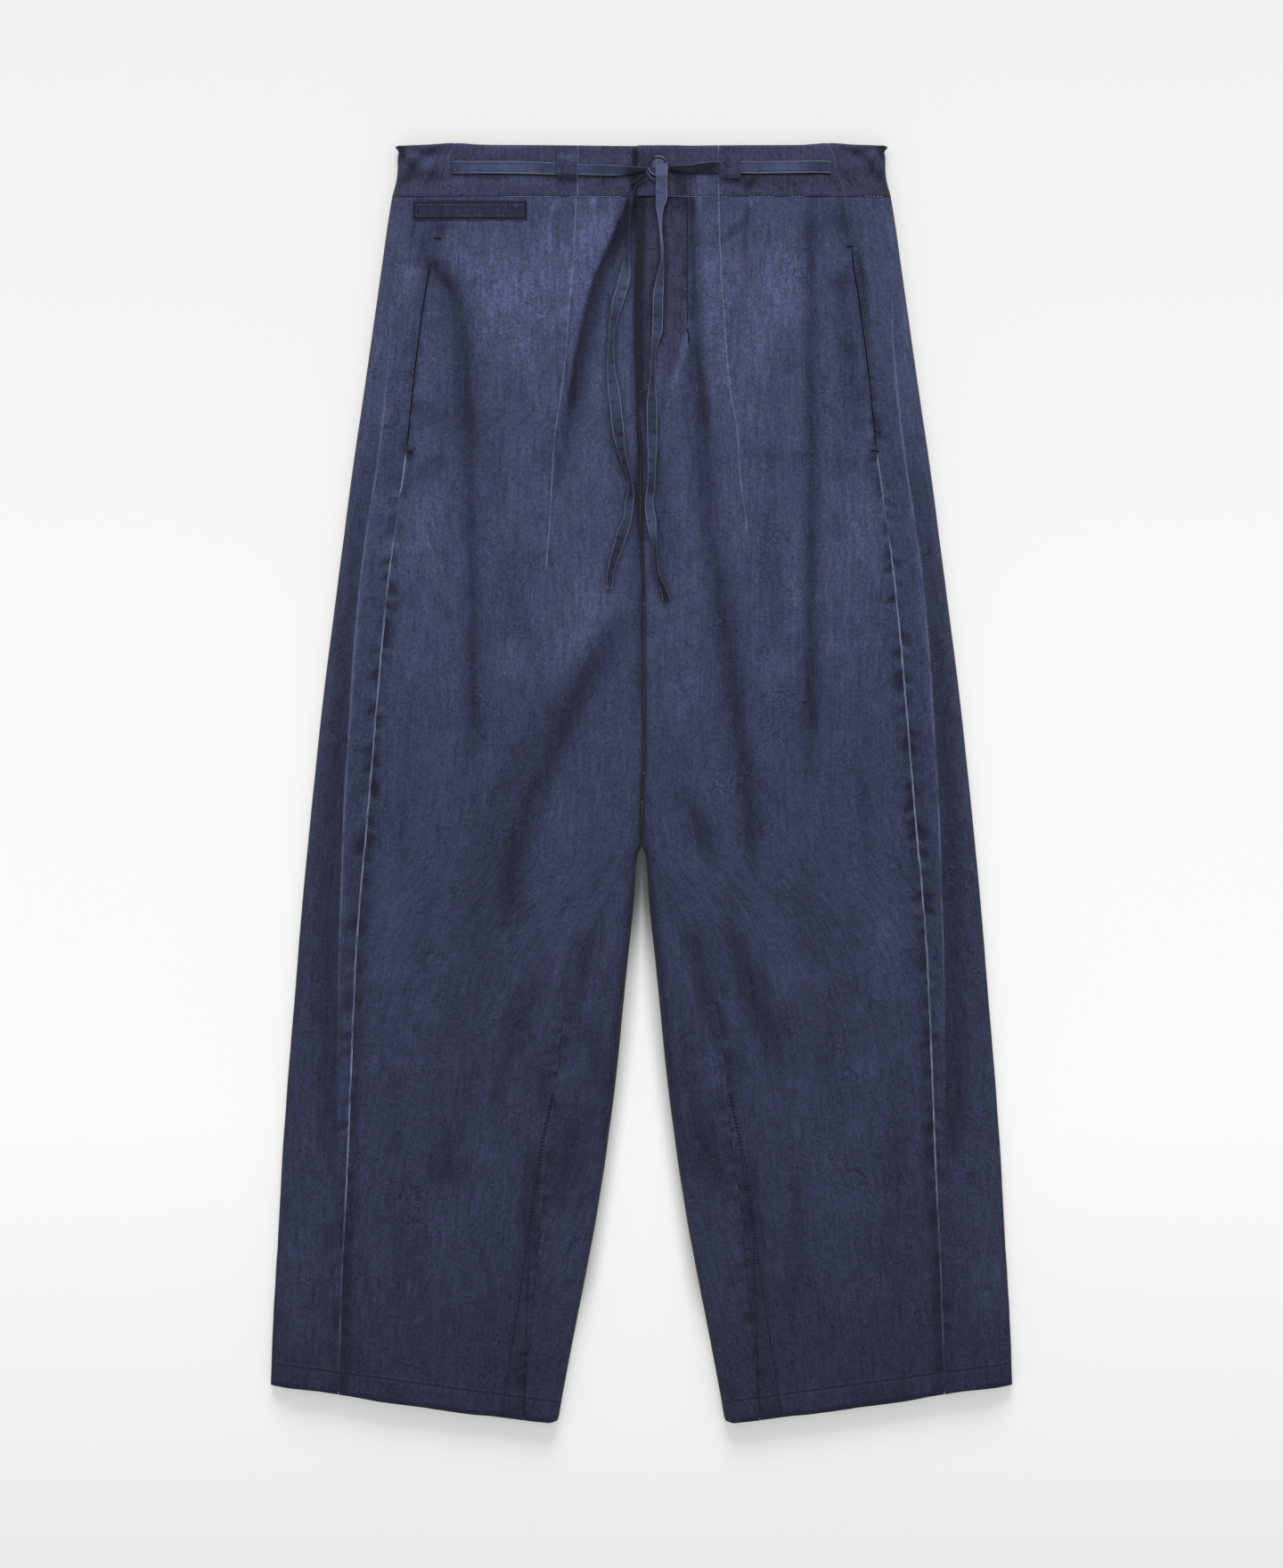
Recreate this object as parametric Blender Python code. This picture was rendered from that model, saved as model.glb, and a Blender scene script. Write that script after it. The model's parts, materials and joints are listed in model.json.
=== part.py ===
"""Barrel-leg joggers in washed indigo twill, laid flat with the front up.

Millimetres here, metres in the meshes. The centre line is x = 0, the waist lies towards +y and the
hems towards -y. The garment lies on z = 0, so +z is its front. The wearer's right is at -x.
"""
import math

import bmesh
import bpy
import numpy as np
from mathutils import Vector
from mathutils.bvhtree import BVHTree

MM = 0.001

# Cloth
TWILL = 1.2              # wall of the legs' twill
BAND_TWILL = 2.4         # wall of the waistband, which is two layers
TAPE = 1.0               # thickness of the woven tape
SEAM_GAP = 0.3           # between two pieces that are sewn together
EDGE_RISE = 4.5          # height of the folded outer and inner edges above the floor
UNDER_TURN = 7.0         # width of the curve under an outer edge
INNER_TURN = 8.0         # width of the curve over and under an inner edge

# Heights along the garment
BAND_TOP_Y = 517.0
BAND_SEAM_Y = 475.0
LAP_END_Y = 285.0        # lower end of the fly's overlap
CROTCH_DIP_Y = 235.0     # where the centre seam starts to dip towards the crotch
CROTCH_Y = 133.0
HEM_Y = -517.0           # hem at the inner edge
HEM_SLOPE_Y = -150.0     # below this the rows tilt towards the slanting hem
HEM_TILT = 0.135         # rise of the hem for each unit outwards
HEM_INNER_X = 67.0

# Fly and waistband overlap at the centre front
LAP_OVER = 3.5           # how far the wearer's left front passes the centre line
LAP_UNDER = 14.0         # how far the wearer's right front runs beneath it
LAP_SLACK = 0.5          # the overlap's two layers lie this much looser than a seam
LAP_FLAT_X = 24.0        # the overlap lies raised up to here
LAP_FADE_X = 44.0        # and is level again here

# Rows down a leg. From the centre line outwards: the folded outer edge, the side seam (which
# lies on the front), the inner edge, the inseam (on the front too, low down), then the height of
# the front above the floor and the width of the strip that turns down to the outer edge.
LEG_COLUMNS = ("y", "outer", "side_seam", "inner", "inseam", "loft", "turn")
LEG_ROWS = (
    (520.0, 197.6, 149.2, 0.15, 0.15, 12.5, 13.0),
    (500.0, 197.8, 158.6, 0.15, 0.15, 13.0, 13.0),
    (475.0, 201.8, 164.2, 0.15, 0.15, 13.5, 13.0),
    (420.0, 209.2, 171.7, 0.15, 0.15, 14.5, 15.0),
    (360.0, 217.4, 180.4, 0.15, 0.15, 15.0, 17.0),
    (299.0, 226.4, 187.2, 0.15, 0.15, 15.5, 19.0),
    (266.0, 231.1, 190.6, 0.15, 0.15, 15.5, 20.0),
    (198.0, 240.1, 200.3, 0.15, 0.15, 15.5, 21.0),
    (130.0, 249.1, 207.0, 0.35, 0.35, 15.5, 22.0),
    (72.0, 256.7, 212.2, 0.35, 0.35, 15.5, 23.0),
    (14.0, 262.6, 217.4, 0.35, 0.35, 15.5, 25.0),
    (-50.0, 269.4, 222.8, 0.60, 3.0, 15.5, 28.0),
    (-104.0, 274.6, 226.0, 6.8, 32.0, 15.5, 31.0),
    (-180.0, 280.6, 230.8, 14.8, 60.0, 15.5, 34.0),
    (-230.0, 284.8, 233.6, 19.8, 67.8, 15.0, 34.0),
    (-281.0, 288.5, 236.6, 26.3, 72.0, 15.0, 34.0),
    (-331.0, 291.6, 238.9, 33.6, 78.6, 14.5, 34.0),
    (-382.0, 294.4, 240.9, 42.6, 83.6, 14.0, 34.0),
    (-432.0, 296.9, 242.8, 52.2, 88.0, 13.5, 34.0),
    (-482.0, 299.2, 244.2, 61.6, 92.8, 12.5, 34.0),
    (-520.0, 300.4, 245.2, 68.4, 96.0, 12.0, 34.0),
)

# Large folds of the front, each a soft trough (or a ridge where the depth is negative) along a
# few places of its own, from the waist downwards: depth, half width, places (x, y).
FOLDS = (
    ("hip trough, right", 4.4, 13.0,
     ((-176, 423), (-158, 410), (-147, 382), (-141, 346), (-136, 302), (-135, 130), (-134, 0))),
    ("hip trough, left", 3.8, 12.0, ((136, 461), (139, 346), (141, 274), (136, 130), (136, 0))),
    ("waist drag", 5.0, 12.0, ((-10, 464), (-21, 439), (-43, 382), (-57, 310), (-73, 245))),
    ("waist drag ridge", -1.8, 15.0, ((-34, 462), (-62, 380), (-84, 280))),
    ("thigh dimple, right", 2.6, 13.0, ((-111, 187), (-106, 144), (-93, 112))),
    ("thigh dimple, left", 2.6, 13.0, ((101, 202), (105, 158), (108, 114))),
    ("crotch drag, right", 5.0, 18.0,
     ((-10, 130), (-28, 104), (-75, 36), (-97, 7), (-115, -36), (-123, -86), (-136, -137), (-145, -230))),
    ("thigh trough, left", 4.2, 13.0,
     ((44, 360), (47, 295), (54, 230), (69, 130), (81, 22), (90, -43), (94, -86))),
    ("inner thigh drag, left", 2.4, 10.0, ((36, -4), (47, -36), (67, -78))),
    ("knee drag, right", 3.6, 12.0, ((-37, -112), (-57, -173), (-66, -205), (-84, -256))),
    ("knee drag, left", 3.6, 12.0, ((31, -104), (44, -137), (64, -202), (78, -256))),
    ("outer knee drag, left", 3.0, 11.0, ((69, -115), (80, -144), (101, -202), (111, -229))),
    ("calf trough, right", 1.8, 18.0, ((-158, -260), (-158, -310), (-152, -370))),
    ("calf trough, left", 1.8, 20.0, ((142, -120), (150, -200), (160, -300))),
)
FOLD_FADE = 45.0         # length over which a fold dies out at each end
LEAST_LOFT = 9.5         # the front never sinks lower than this between its edges

# Waist tape: places along it from its sewn end to the knot, as (x, y, width)
TAPE_RIGHT = ((-153.0, 498.8, 9.6), (-120.0, 498.6, 9.6), (-86.0, 498.2, 9.6), (-51.0, 497.6, 9.2),
              (-24.0, 497.6, 8.4), (-12.0, 497.2, 5.6), (4.2, 496.8, 3.4))
TAPE_LEFT = ((153.6, 498.9, 9.4), (120.0, 498.8, 9.4), (88.0, 498.8, 9.4), (66.0, 499.0, 9.0),
             (42.0, 498.2, 7.6), (28.0, 497.6, 5.4), (22.4, 497.2, 4.6))
LOOP_WIDTH = 17.0
LOOP_TOP_Y = 515.0
LOOP_FOOT_Y = 489.6
LOOP_X = (-60.0, 71.5)   # middle of the wearer's right and left loop

# Welt of the coin pocket, over the right side seam just below the waistband
WELT_X = (-184.6, -92.6)
WELT_Y = (455.6, 471.0)

# Button on the lap, and the knot beneath it
BUTTON_X = 13.5
BUTTON_Y = 498.4
BUTTON_RADIUS = 8.5
BUTTON_THICK = 2.8
KNOT_RADIUS = 5.4
KNOT_THICK = 2.6

# Hanging ends of the drawstring, from the knot down, as (x, y, width); narrow where the tape twists
FRONT_END = (
    (15.5, 501.0, 9.4), (16.2, 489.0, 9.4), (16.2, 475.5, 9.4), (15.2, 465.0, 8.2), (16.2, 450.0, 4.0),
    (16.9, 436.0, 3.4), (16.6, 424.0, 4.2), (14.8, 411.0, 6.4), (13.3, 390.0, 8.0), (13.0, 370.0, 8.0),
    (11.0, 357.0, 5.6), (9.4, 344.0, 3.6), (9.0, 330.0, 3.8), (8.5, 316.0, 6.6), (8.5, 302.0, 8.0),
    (9.5, 278.0, 8.0), (7.7, 244.0, 6.6), (8.3, 211.0, 6.6), (10.2, 188.0, 6.6), (13.3, 170.0, 6.4),
    (19.0, 148.5, 5.6),
)
BACK_END = (
    (5.6, 492.2, 4.6), (-1.6, 487.6, 4.8), (-7.4, 483.0, 4.2), (-9.2, 474.0, 3.4), (-9.8, 457.0, 3.4),
    (-10.6, 440.0, 4.4), (-12.0, 420.0, 7.2), (-14.4, 406.0, 9.0), (-17.8, 394.0, 9.0), (-21.4, 380.0, 6.6),
    (-24.2, 360.0, 3.4), (-24.8, 342.0, 4.2), (-23.4, 326.0, 7.4), (-21.2, 311.0, 9.2), (-17.8, 291.0, 9.2),
    (-15.6, 275.0, 7.8), (-12.4, 260.0, 5.6), (-8.4, 240.0, 3.6), (-10.2, 222.0, 5.4), (-15.6, 202.0, 8.2),
    (-22.0, 181.0, 9.2), (-26.0, 165.0, 9.2), (-26.4, 157.5, 9.0),
)
END_STEP = 11.0          # length of one facet along a hanging end
END_FEEL_X = (-5.5, -2.5, 0.0, 2.5, 5.5)       # places round a point of it that it must clear
END_FEEL_Y = (-END_STEP, -END_STEP / 2.0, 0.0, END_STEP / 2.0, END_STEP)
TWIST_WIDTH = 3.2        # the tape's width where it is twisted
TWIST_EXTRA = 0.9        # and how much thicker it is there
REST_GAP = 0.5           # between a laid-on piece and what it lies on

# Mesh fineness
LEG_ROW_COUNT = 36
FRONT_COLUMNS = 20
BAND_ROW_COUNT = 4
TAPE_STATIONS = 22
TURN_STEPS = (2.35, 2.7, 3.0, 3.45, 4.0, 4.25, 4.5, 4.75, 5.0)     # round an outer edge, as u
INNER_STEPS = (5.4, 5.75, 6.0, 6.35, 6.7, 7.0)                     # and round an inner edge
LEAST_STEP = 0.07        # the steps of u crowd no closer than this at a panel's end
SEAM_AT_EDGE = 0.006     # u of an inseam that runs down the very edge
RIGHT, LEFT = -1, 1

INDIGO = (0.066, 0.075, 0.138)
INDIGO_DARK = (0.036, 0.040, 0.066)
INDIGO_TAPE = (0.100, 0.110, 0.190)


def smoothstep(low, high, value):
    t = min(max((value - low) / (high - low), 0.0), 1.0)
    return t * t * (3.0 - 2.0 * t)


def monotone(places, values, at):
    """Smooth curve through (place, value) that never passes the values on either side."""
    places, values = np.asarray(places, float), np.asarray(values, float)
    step = np.diff(places)
    rise = np.diff(values) / step
    slope = np.zeros(len(places))
    slope[0], slope[-1] = rise[0], rise[-1]
    for i in range(1, len(places) - 1):
        if rise[i - 1] * rise[i] > 0.0:
            slope[i] = 2.0 * rise[i - 1] * rise[i] / (rise[i - 1] + rise[i])
    at = min(max(at, places[0]), places[-1])
    i = min(int(np.searchsorted(places, at, side="right")) - 1, len(step) - 1)
    t = (at - places[i]) / step[i]
    start = values[i] + t * step[i] * slope[i]
    end = values[i + 1] - (1.0 - t) * step[i] * slope[i + 1]
    blend = t * t * (3.0 - 2.0 * t)
    return float(start * (1.0 - blend) + end * blend)


def leg(column, y):
    """A size of the leg table at any height."""
    index = LEG_COLUMNS.index(column)
    rising = LEG_ROWS[::-1]
    return monotone([row[0] for row in rising], [row[index] for row in rising], y)


def fold_lift(fold, x, y):
    _, depth, width, places = fold
    ys = [place[1] for place in reversed(places)]
    xs = [place[0] for place in reversed(places)]
    if y < ys[0] - FOLD_FADE or y > ys[-1] + FOLD_FADE:
        return 0.0
    middle = monotone(ys, xs, y)
    lean = (monotone(ys, xs, y + 2.0) - monotone(ys, xs, y - 2.0)) / 4.0
    across = (x - middle) / math.hypot(1.0, lean)
    fade = smoothstep(ys[0] - FOLD_FADE, ys[0] + FOLD_FADE, y)
    fade *= 1.0 - smoothstep(ys[-1] - FOLD_FADE, ys[-1] + FOLD_FADE, y)
    return -depth * fade * math.exp(-(across / width) ** 2)


def front_height(x, y):
    """Height of the front's outside above the floor, with its folds, away from the edges."""
    calm = 1.0 - smoothstep(BAND_SEAM_Y - 40.0, BAND_SEAM_Y, y)
    lift = sum(fold_lift(fold, x, y) for fold in FOLDS)
    return max(leg("loft", y) + lift * calm, LEAST_LOFT)


def row_tilt(y):
    return HEM_TILT * (1.0 - smoothstep(HEM_Y, HEM_SLOPE_Y, y))


def closing(y):
    """0 where the two fronts meet flat at the centre, 1 from the crotch down, where legs close."""
    return 1.0 - smoothstep(CROTCH_Y, CROTCH_DIP_Y, y)


def inner_turn(start, part):
    """Share of the inner curve's width, and of its height, part of the way up from the edge."""
    angle = start + (math.pi / 2.0 - start) * part
    lean = math.cos(start)
    width = (lean - math.cos(angle)) / lean if lean > 1e-3 else part
    return width, math.sin(angle)


def ring_point(y, u, side, raised=0.0):
    """A point on the outside of one leg, going round from the inner edge over the front.

    u is 0 at the inner edge, 1 to 2 over the flat front, 3 at the outer edge, 4 to 5 along the
    floor and 6 at the inner edge again. Below 0 it runs on past the centre line, over a flat fly.
    """
    if u > 6.0:
        u -= 6.0
    inner, outer, turn = leg("inner", y), leg("outer", y), leg("turn", y)
    start = (1.0 - closing(y)) * math.pi / 2.0
    near, far = inner + INNER_TURN, outer - turn
    if u < 0.0:
        x, share = inner + u * LAP_UNDER, 1.0
    elif u < 1.0:
        width, share = inner_turn(start, u)
        x = inner + INNER_TURN * width
    elif u < 2.0:
        x, share = near + (u - 1.0) * (far - near), 1.0
    elif u < 3.0:
        angle = (3.0 - u) * math.pi / 2.0
        x, share = outer - turn * (1.0 - math.cos(angle)), math.sin(angle)
    elif u < 4.0:
        angle = (u - 3.0) * math.pi / 2.0
        x, share = outer - UNDER_TURN * (1.0 - math.cos(angle)), math.sin(angle)
    elif u < 5.0:
        share = 1.0
        x = outer - UNDER_TURN + (u - 4.0) * (near - outer + UNDER_TURN)
    else:
        width, share = inner_turn(start, 6.0 - u)
        x = inner + INNER_TURN * width
    world_y = y + row_tilt(y) * (x - HEM_INNER_X)
    if u < 3.0:
        top = front_height(side * x, world_y)
        z = EDGE_RISE + (top - EDGE_RISE) * share
    else:
        z = EDGE_RISE * (1.0 - share)
    if raised and u < 3.0:
        z += raised * (1.0 - smoothstep(LAP_FLAT_X, LAP_FADE_X, x))
    return np.array((side * x, world_y, z))


def ring_wall(y, u, side, thickness, raised=0.0):
    """The point on the outside at u, and the one below it on the inside of the wall."""
    here = ring_point(y, u, side, raised)
    delta = 0.004
    ahead = ring_point(y, u + delta, side, raised) - ring_point(y, u - delta, side, raised)
    inward = np.array((ahead[2], 0.0, -ahead[0])) * side
    inward /= np.linalg.norm(inward)
    return here, here + inward * thickness


def slide(y, u, side, distance):
    """Move along the ring by a distance in millimetres."""
    delta = 0.002
    speed = np.linalg.norm(ring_point(y, u + delta, side) - ring_point(y, u - delta, side)) / (2 * delta)
    return u + distance / max(speed, 1e-6)


def u_at_x(y, x):
    """Where on the front of the ring the distance x from the centre line falls."""
    inner, outer, turn = leg("inner", y), leg("outer", y), leg("turn", y)
    start = (1.0 - closing(y)) * math.pi / 2.0
    near, far = inner + INNER_TURN, outer - turn
    if x < near:
        part = max(0.0, x - inner) / INNER_TURN
        angle = math.acos(math.cos(start) * (1.0 - part))
        return (angle - start) / (math.pi / 2.0 - start) if closing(y) > 1e-3 else part
    if x <= far:
        return 1.0 + (x - near) / (far - near)
    return 3.0 - math.acos(1.0 - (outer - x) / turn) * 2.0 / math.pi


def finish(name, mesh_builder, colour, roughness=0.9, metallic=0.0, smooth=True):
    """Turn a bmesh in millimetres into a named object in metres with its own material."""
    bmesh.ops.recalc_face_normals(mesh_builder, faces=mesh_builder.faces)
    bmesh.ops.scale(mesh_builder, vec=(MM, MM, MM), verts=mesh_builder.verts)
    mesh = bpy.data.meshes.new(name)
    mesh_builder.to_mesh(mesh)
    mesh_builder.free()
    if smooth:
        mesh.shade_smooth()
        mesh.set_sharp_from_angle(angle=math.radians(40.0))
    material = bpy.data.materials.new(name)
    material.use_nodes = True
    shader = material.node_tree.nodes["Principled BSDF"]
    shader.inputs["Base Color"].default_value = (*colour, 1.0)
    shader.inputs["Roughness"].default_value = roughness
    shader.inputs["Metallic"].default_value = metallic
    mesh.materials.append(material)
    piece = bpy.data.objects.new(name, mesh)
    bpy.context.collection.objects.link(piece)
    return piece


def wall_from_grids(outside, inside):
    """A closed wall between two equal grids of points, rows by columns.

    Every square is cut along the same diagonal, so that two walls that share a seam stay apart.
    """
    work = bmesh.new()
    outer, inner = ([[work.verts.new(Vector(p)) for p in row] for row in grid] for grid in (outside, inside))
    rows, columns = len(outside), len(outside[0])

    def square(near, beside, across, beyond):
        work.faces.new((near, beside, across))
        work.faces.new((near, across, beyond))

    for i in range(rows - 1):
        for j in range(columns - 1):
            square(outer[i][j], outer[i][j + 1], outer[i + 1][j + 1], outer[i + 1][j])
            square(inner[i][j], inner[i + 1][j], inner[i + 1][j + 1], inner[i][j + 1])
        for j in (0, columns - 1):
            square(outer[i][j], outer[i + 1][j], inner[i + 1][j], inner[i][j])
    for i in (0, rows - 1):
        for j in range(columns - 1):
            square(outer[i][j], outer[i][j + 1], inner[i][j + 1], inner[i][j])
    return work


def leg_stations():
    """Heights of the rows from the waist seam to the hem, closer together round the crotch."""
    top, low = BAND_SEAM_Y - SEAM_GAP / 2.0, HEM_Y
    above = np.linspace(top, CROTCH_Y + 12.0, int(LEG_ROW_COUNT * 0.36))
    below = np.linspace(CROTCH_Y - 12.0, low, LEG_ROW_COUNT - len(above) - 1)
    return [*above, CROTCH_Y, *below]


def lap_reach(y, side):
    """How far the front passes the centre line at this height, as u below 0."""
    if y <= LAP_END_Y:
        return None
    return -LAP_OVER / LAP_UNDER if side == LEFT else -1.0


def front_lift(y, side):
    """Extra height of the wearer's left front where it laps over the fly."""
    if side == RIGHT:
        return 0.0
    return (TWILL + SEAM_GAP + LAP_SLACK) * smoothstep(LAP_END_Y - 95.0, LAP_END_Y - 25.0, y)


def front_row(y, side):
    """Places round the ring from the centre line or the inseam to the side seam."""
    half = SEAM_GAP / 2.0
    end = slide(y, u_at_x(y, leg("side_seam", y)), side, -half)
    reach = lap_reach(y, side)
    if reach is None:
        first = slide(y, max(u_at_x(y, leg("inseam", y)), SEAM_AT_EDGE), side, half)
        starts = [first + (1.0 - first) * share for share in (0.0, 0.4, 0.75)]
    else:
        first, starts = reach, [reach, reach * 0.4, 0.5]
    if first > 0.85:
        return [float(u) for u in np.linspace(first, end, FRONT_COLUMNS)]
    return starts + [float(u) for u in np.linspace(1.0, end, FRONT_COLUMNS - len(starts))]


def front(name, side):
    outside, inside = [], []
    for y in leg_stations():
        raised = front_lift(y, side)
        pairs = [ring_wall(y, u, side, TWILL, raised) for u in front_row(y, side)]
        outside.append([pair[0] for pair in pairs])
        inside.append([pair[1] for pair in pairs])
    return finish(name, wall_from_grids(outside, inside), INDIGO)


def back_row(y, side):
    """Places round the ring from the side seam, under the leg, to the centre back or inseam."""
    half = SEAM_GAP / 2.0
    start = slide(y, u_at_x(y, leg("side_seam", y)), side, half)
    inseam = u_at_x(y, leg("inseam", y))
    end = slide(y, 6.0 + (inseam if inseam > SEAM_AT_EDGE else -1e-3), side, -half)
    flat = [start, (start + 2.0) / 2.0, 2.0]
    inner = [*INNER_STEPS, end]
    inner = [min(u, end - LEAST_STEP * (len(inner) - 1 - i)) for i, u in enumerate(inner)]
    return [*flat, *TURN_STEPS, *inner]


def back(name, side):
    outside, inside = [], []
    for y in leg_stations():
        pairs = [ring_wall(y, u, side, TWILL) for u in back_row(y, side)]
        outside.append([pair[0] for pair in pairs])
        inside.append([pair[1] for pair in pairs])
    return finish(name, wall_from_grids(outside, inside), INDIGO)


def band_stations():
    return np.linspace(BAND_SEAM_Y + SEAM_GAP / 2.0, BAND_TOP_Y, BAND_ROW_COUNT)


def waistband_front(name, side):
    raised = BAND_TWILL + SEAM_GAP + LAP_SLACK if side == LEFT else 0.0
    outside, inside = [], []
    for y in band_stations():
        end = slide(y, u_at_x(y, leg("side_seam", y)), side, -SEAM_GAP / 2.0)
        reach = lap_reach(y, side)
        columns = [reach, *np.linspace(1.0, end, 9)]
        pairs = [ring_wall(y, u, side, BAND_TWILL, raised) for u in columns]
        outside.append([pair[0] for pair in pairs])
        inside.append([pair[1] for pair in pairs])
    return finish(name, wall_from_grids(outside, inside), INDIGO)


def waistband_back(name):
    """The back waistband runs under the garment and wraps round both outer edges."""
    outside, inside = [], []
    for y in band_stations():
        start = slide(y, u_at_x(y, leg("side_seam", y)), RIGHT, SEAM_GAP / 2.0)
        columns = [start, (start + 2.0) / 2.0, 2.0, 2.35, 2.7, 3.0, 3.45, 4.0, 4.5, 5.0]
        halves = []
        for side in (RIGHT, LEFT):
            halves.append([ring_wall(y, u, side, BAND_TWILL) for u in columns])
        pairs = halves[0] + halves[1][::-1]
        outside.append([pair[0] for pair in pairs])
        inside.append([pair[1] for pair in pairs])
    return finish(name, wall_from_grids(outside, inside), INDIGO)


def band_height(x):
    """Height of the waistband's outside at a place on the front."""
    lap = (BAND_TWILL + SEAM_GAP + LAP_SLACK) * (1.0 - smoothstep(LAP_FLAT_X, LAP_FADE_X, x))
    return leg("loft", BAND_TOP_Y - 18.0) + (lap if x > -LAP_OVER - 2.0 else 0.0)


def strip_on_band(name, places, colour):
    """Flat tape on the waistband through (x, y, width), just clear of it."""
    order = sorted(places)
    xs, ys, widths = ([p[k] for p in order] for k in range(3))
    outside, inside = [], []
    for x in np.linspace(xs[0], xs[-1], TAPE_STATIONS):
        half = monotone(xs, widths, x) / 2.0
        middle = monotone(xs, ys, x)
        floor = max(band_height(x + shift) for shift in (-5.0, 0.0, 5.0)) + REST_GAP
        ends = (middle - half, middle + half)
        outside.append([np.array((x, y, floor + TAPE)) for y in ends])
        inside.append([np.array((x, y, floor)) for y in ends])
    return finish(name, wall_from_grids(outside, inside), colour)


def belt_loop(name, middle):
    """Cloth loop over the tape, sewn down above and below it."""
    over = REST_GAP + TAPE + 2.0 * SEAM_GAP
    profile = ((LOOP_TOP_Y, REST_GAP), (LOOP_TOP_Y - 6.4, REST_GAP), (LOOP_TOP_Y - 9.4, over),
               (LOOP_FOOT_Y + 2.8, over), (LOOP_FOOT_Y + 1.2, REST_GAP), (LOOP_FOOT_Y, REST_GAP))
    base = band_height(middle)
    outside, inside = [], []
    for y, clear in profile:
        xs = np.linspace(middle - LOOP_WIDTH / 2.0, middle + LOOP_WIDTH / 2.0, 3)
        inside.append([np.array((x, y, base + clear)) for x in xs])
        outside.append([np.array((x, y, base + clear + TWILL)) for x in xs])
    return finish(name, wall_from_grids(outside, inside), INDIGO)


def coin_pocket_welt(name):
    """Welt strip made from the front's own heights, moved out."""
    outside, inside = [], []
    for y in np.linspace(*WELT_Y, 3):
        xs = np.linspace(*WELT_X, 10)
        floors = [front_height(x, y) + REST_GAP for x in xs]
        inside.append([np.array((x, y, z)) for x, z in zip(xs, floors)])
        outside.append([np.array((x, y, z + TWILL)) for x, z in zip(xs, floors)])
    return finish(name, wall_from_grids(outside, inside), INDIGO_DARK)


def turned_disc(name, radius, low, profile, colour, roughness):
    """A round piece on the lap, turned from (share of the radius, height) pairs above low."""
    sides = 24
    work = bmesh.new()
    rings = []
    for share, height in profile:
        ring = []
        for k in range(sides):
            angle = 2.0 * math.pi * k / sides
            place = (BUTTON_X + radius * share * math.cos(angle), BUTTON_Y + radius * share * math.sin(angle))
            ring.append(work.verts.new((*place, low + height)))
        rings.append(ring)
    for below, above in zip(rings, rings[1:]):
        for k in range(sides):
            n = (k + 1) % sides
            work.faces.new((below[k], below[n], above[n], above[k]))
    work.faces.new(rings[0][::-1])
    work.faces.new(rings[-1])
    return finish(name, work, colour, roughness)


def knot_and_button():
    base = band_height(BUTTON_X) + SEAM_GAP
    t = KNOT_THICK
    knot_shape = ((0.86, 0.0), (1.0, t * 0.35), (1.0, t * 0.65), (0.86, t))
    turned_disc("drawstring_knot", KNOT_RADIUS, base, knot_shape, INDIGO_TAPE, 0.9)
    t = BUTTON_THICK
    button_shape = ((0.90, 0.0), (1.0, t * 0.3), (1.0, t * 0.8), (0.94, t), (0.80, t * 0.95), (0.72, t * 0.78))
    turned_disc("button", BUTTON_RADIUS, base + KNOT_THICK + SEAM_GAP, button_shape, INDIGO_DARK, 0.5)


def surface_finder(pieces):
    """Height in millimetres of the highest of some finished pieces at a place."""
    trees = []
    for piece in pieces:
        work = bmesh.new()
        work.from_mesh(piece.data)
        trees.append(BVHTree.FromBMesh(work))
        work.free()

    def height(x, y):
        best = 0.0
        for tree in trees:
            hit = tree.ray_cast(Vector((x * MM, y * MM, 0.2)), Vector((0.0, 0.0, -1.0)))[0]
            if hit is not None:
                best = max(best, hit.z / MM)
        return best
    return height


def hanging_end(name, places, height):
    """A free end of the tape that lies down the front, seated on what is beneath it."""
    order = list(reversed(places))
    ys = [p[1] for p in order]
    xs = [p[0] for p in order]
    widths = [p[2] for p in order]
    count = int((ys[-1] - ys[0]) / END_STEP) + 1
    outside, inside = [], []
    for y in np.linspace(ys[-1], ys[0], count):
        x, width = monotone(ys, xs, y), monotone(ys, widths, y)
        lean = (monotone(ys, xs, y + 1.0) - monotone(ys, xs, y - 1.0)) / 2.0
        along = np.array((lean, 1.0)) / math.hypot(lean, 1.0)
        across = np.array((along[1], -along[0])) * width / 2.0
        near = [height(x + dx, y + dy) for dx in END_FEEL_X for dy in END_FEEL_Y]
        floor = max(near) + REST_GAP
        thick = TAPE + TWIST_EXTRA * (1.0 - smoothstep(TWIST_WIDTH, TWIST_WIDTH * 2.2, width))
        corners = [np.array((x - across[0], y - across[1])), np.array((x + across[0], y + across[1]))]
        inside.append([np.array((*corner, floor)) for corner in corners])
        outside.append([np.array((*corner, floor + thick)) for corner in corners])
    return finish(name, wall_from_grids(outside, inside), INDIGO_TAPE)


def clear_scene():
    for item in list(bpy.data.objects):
        bpy.data.objects.remove(item, do_unlink=True)


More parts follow.
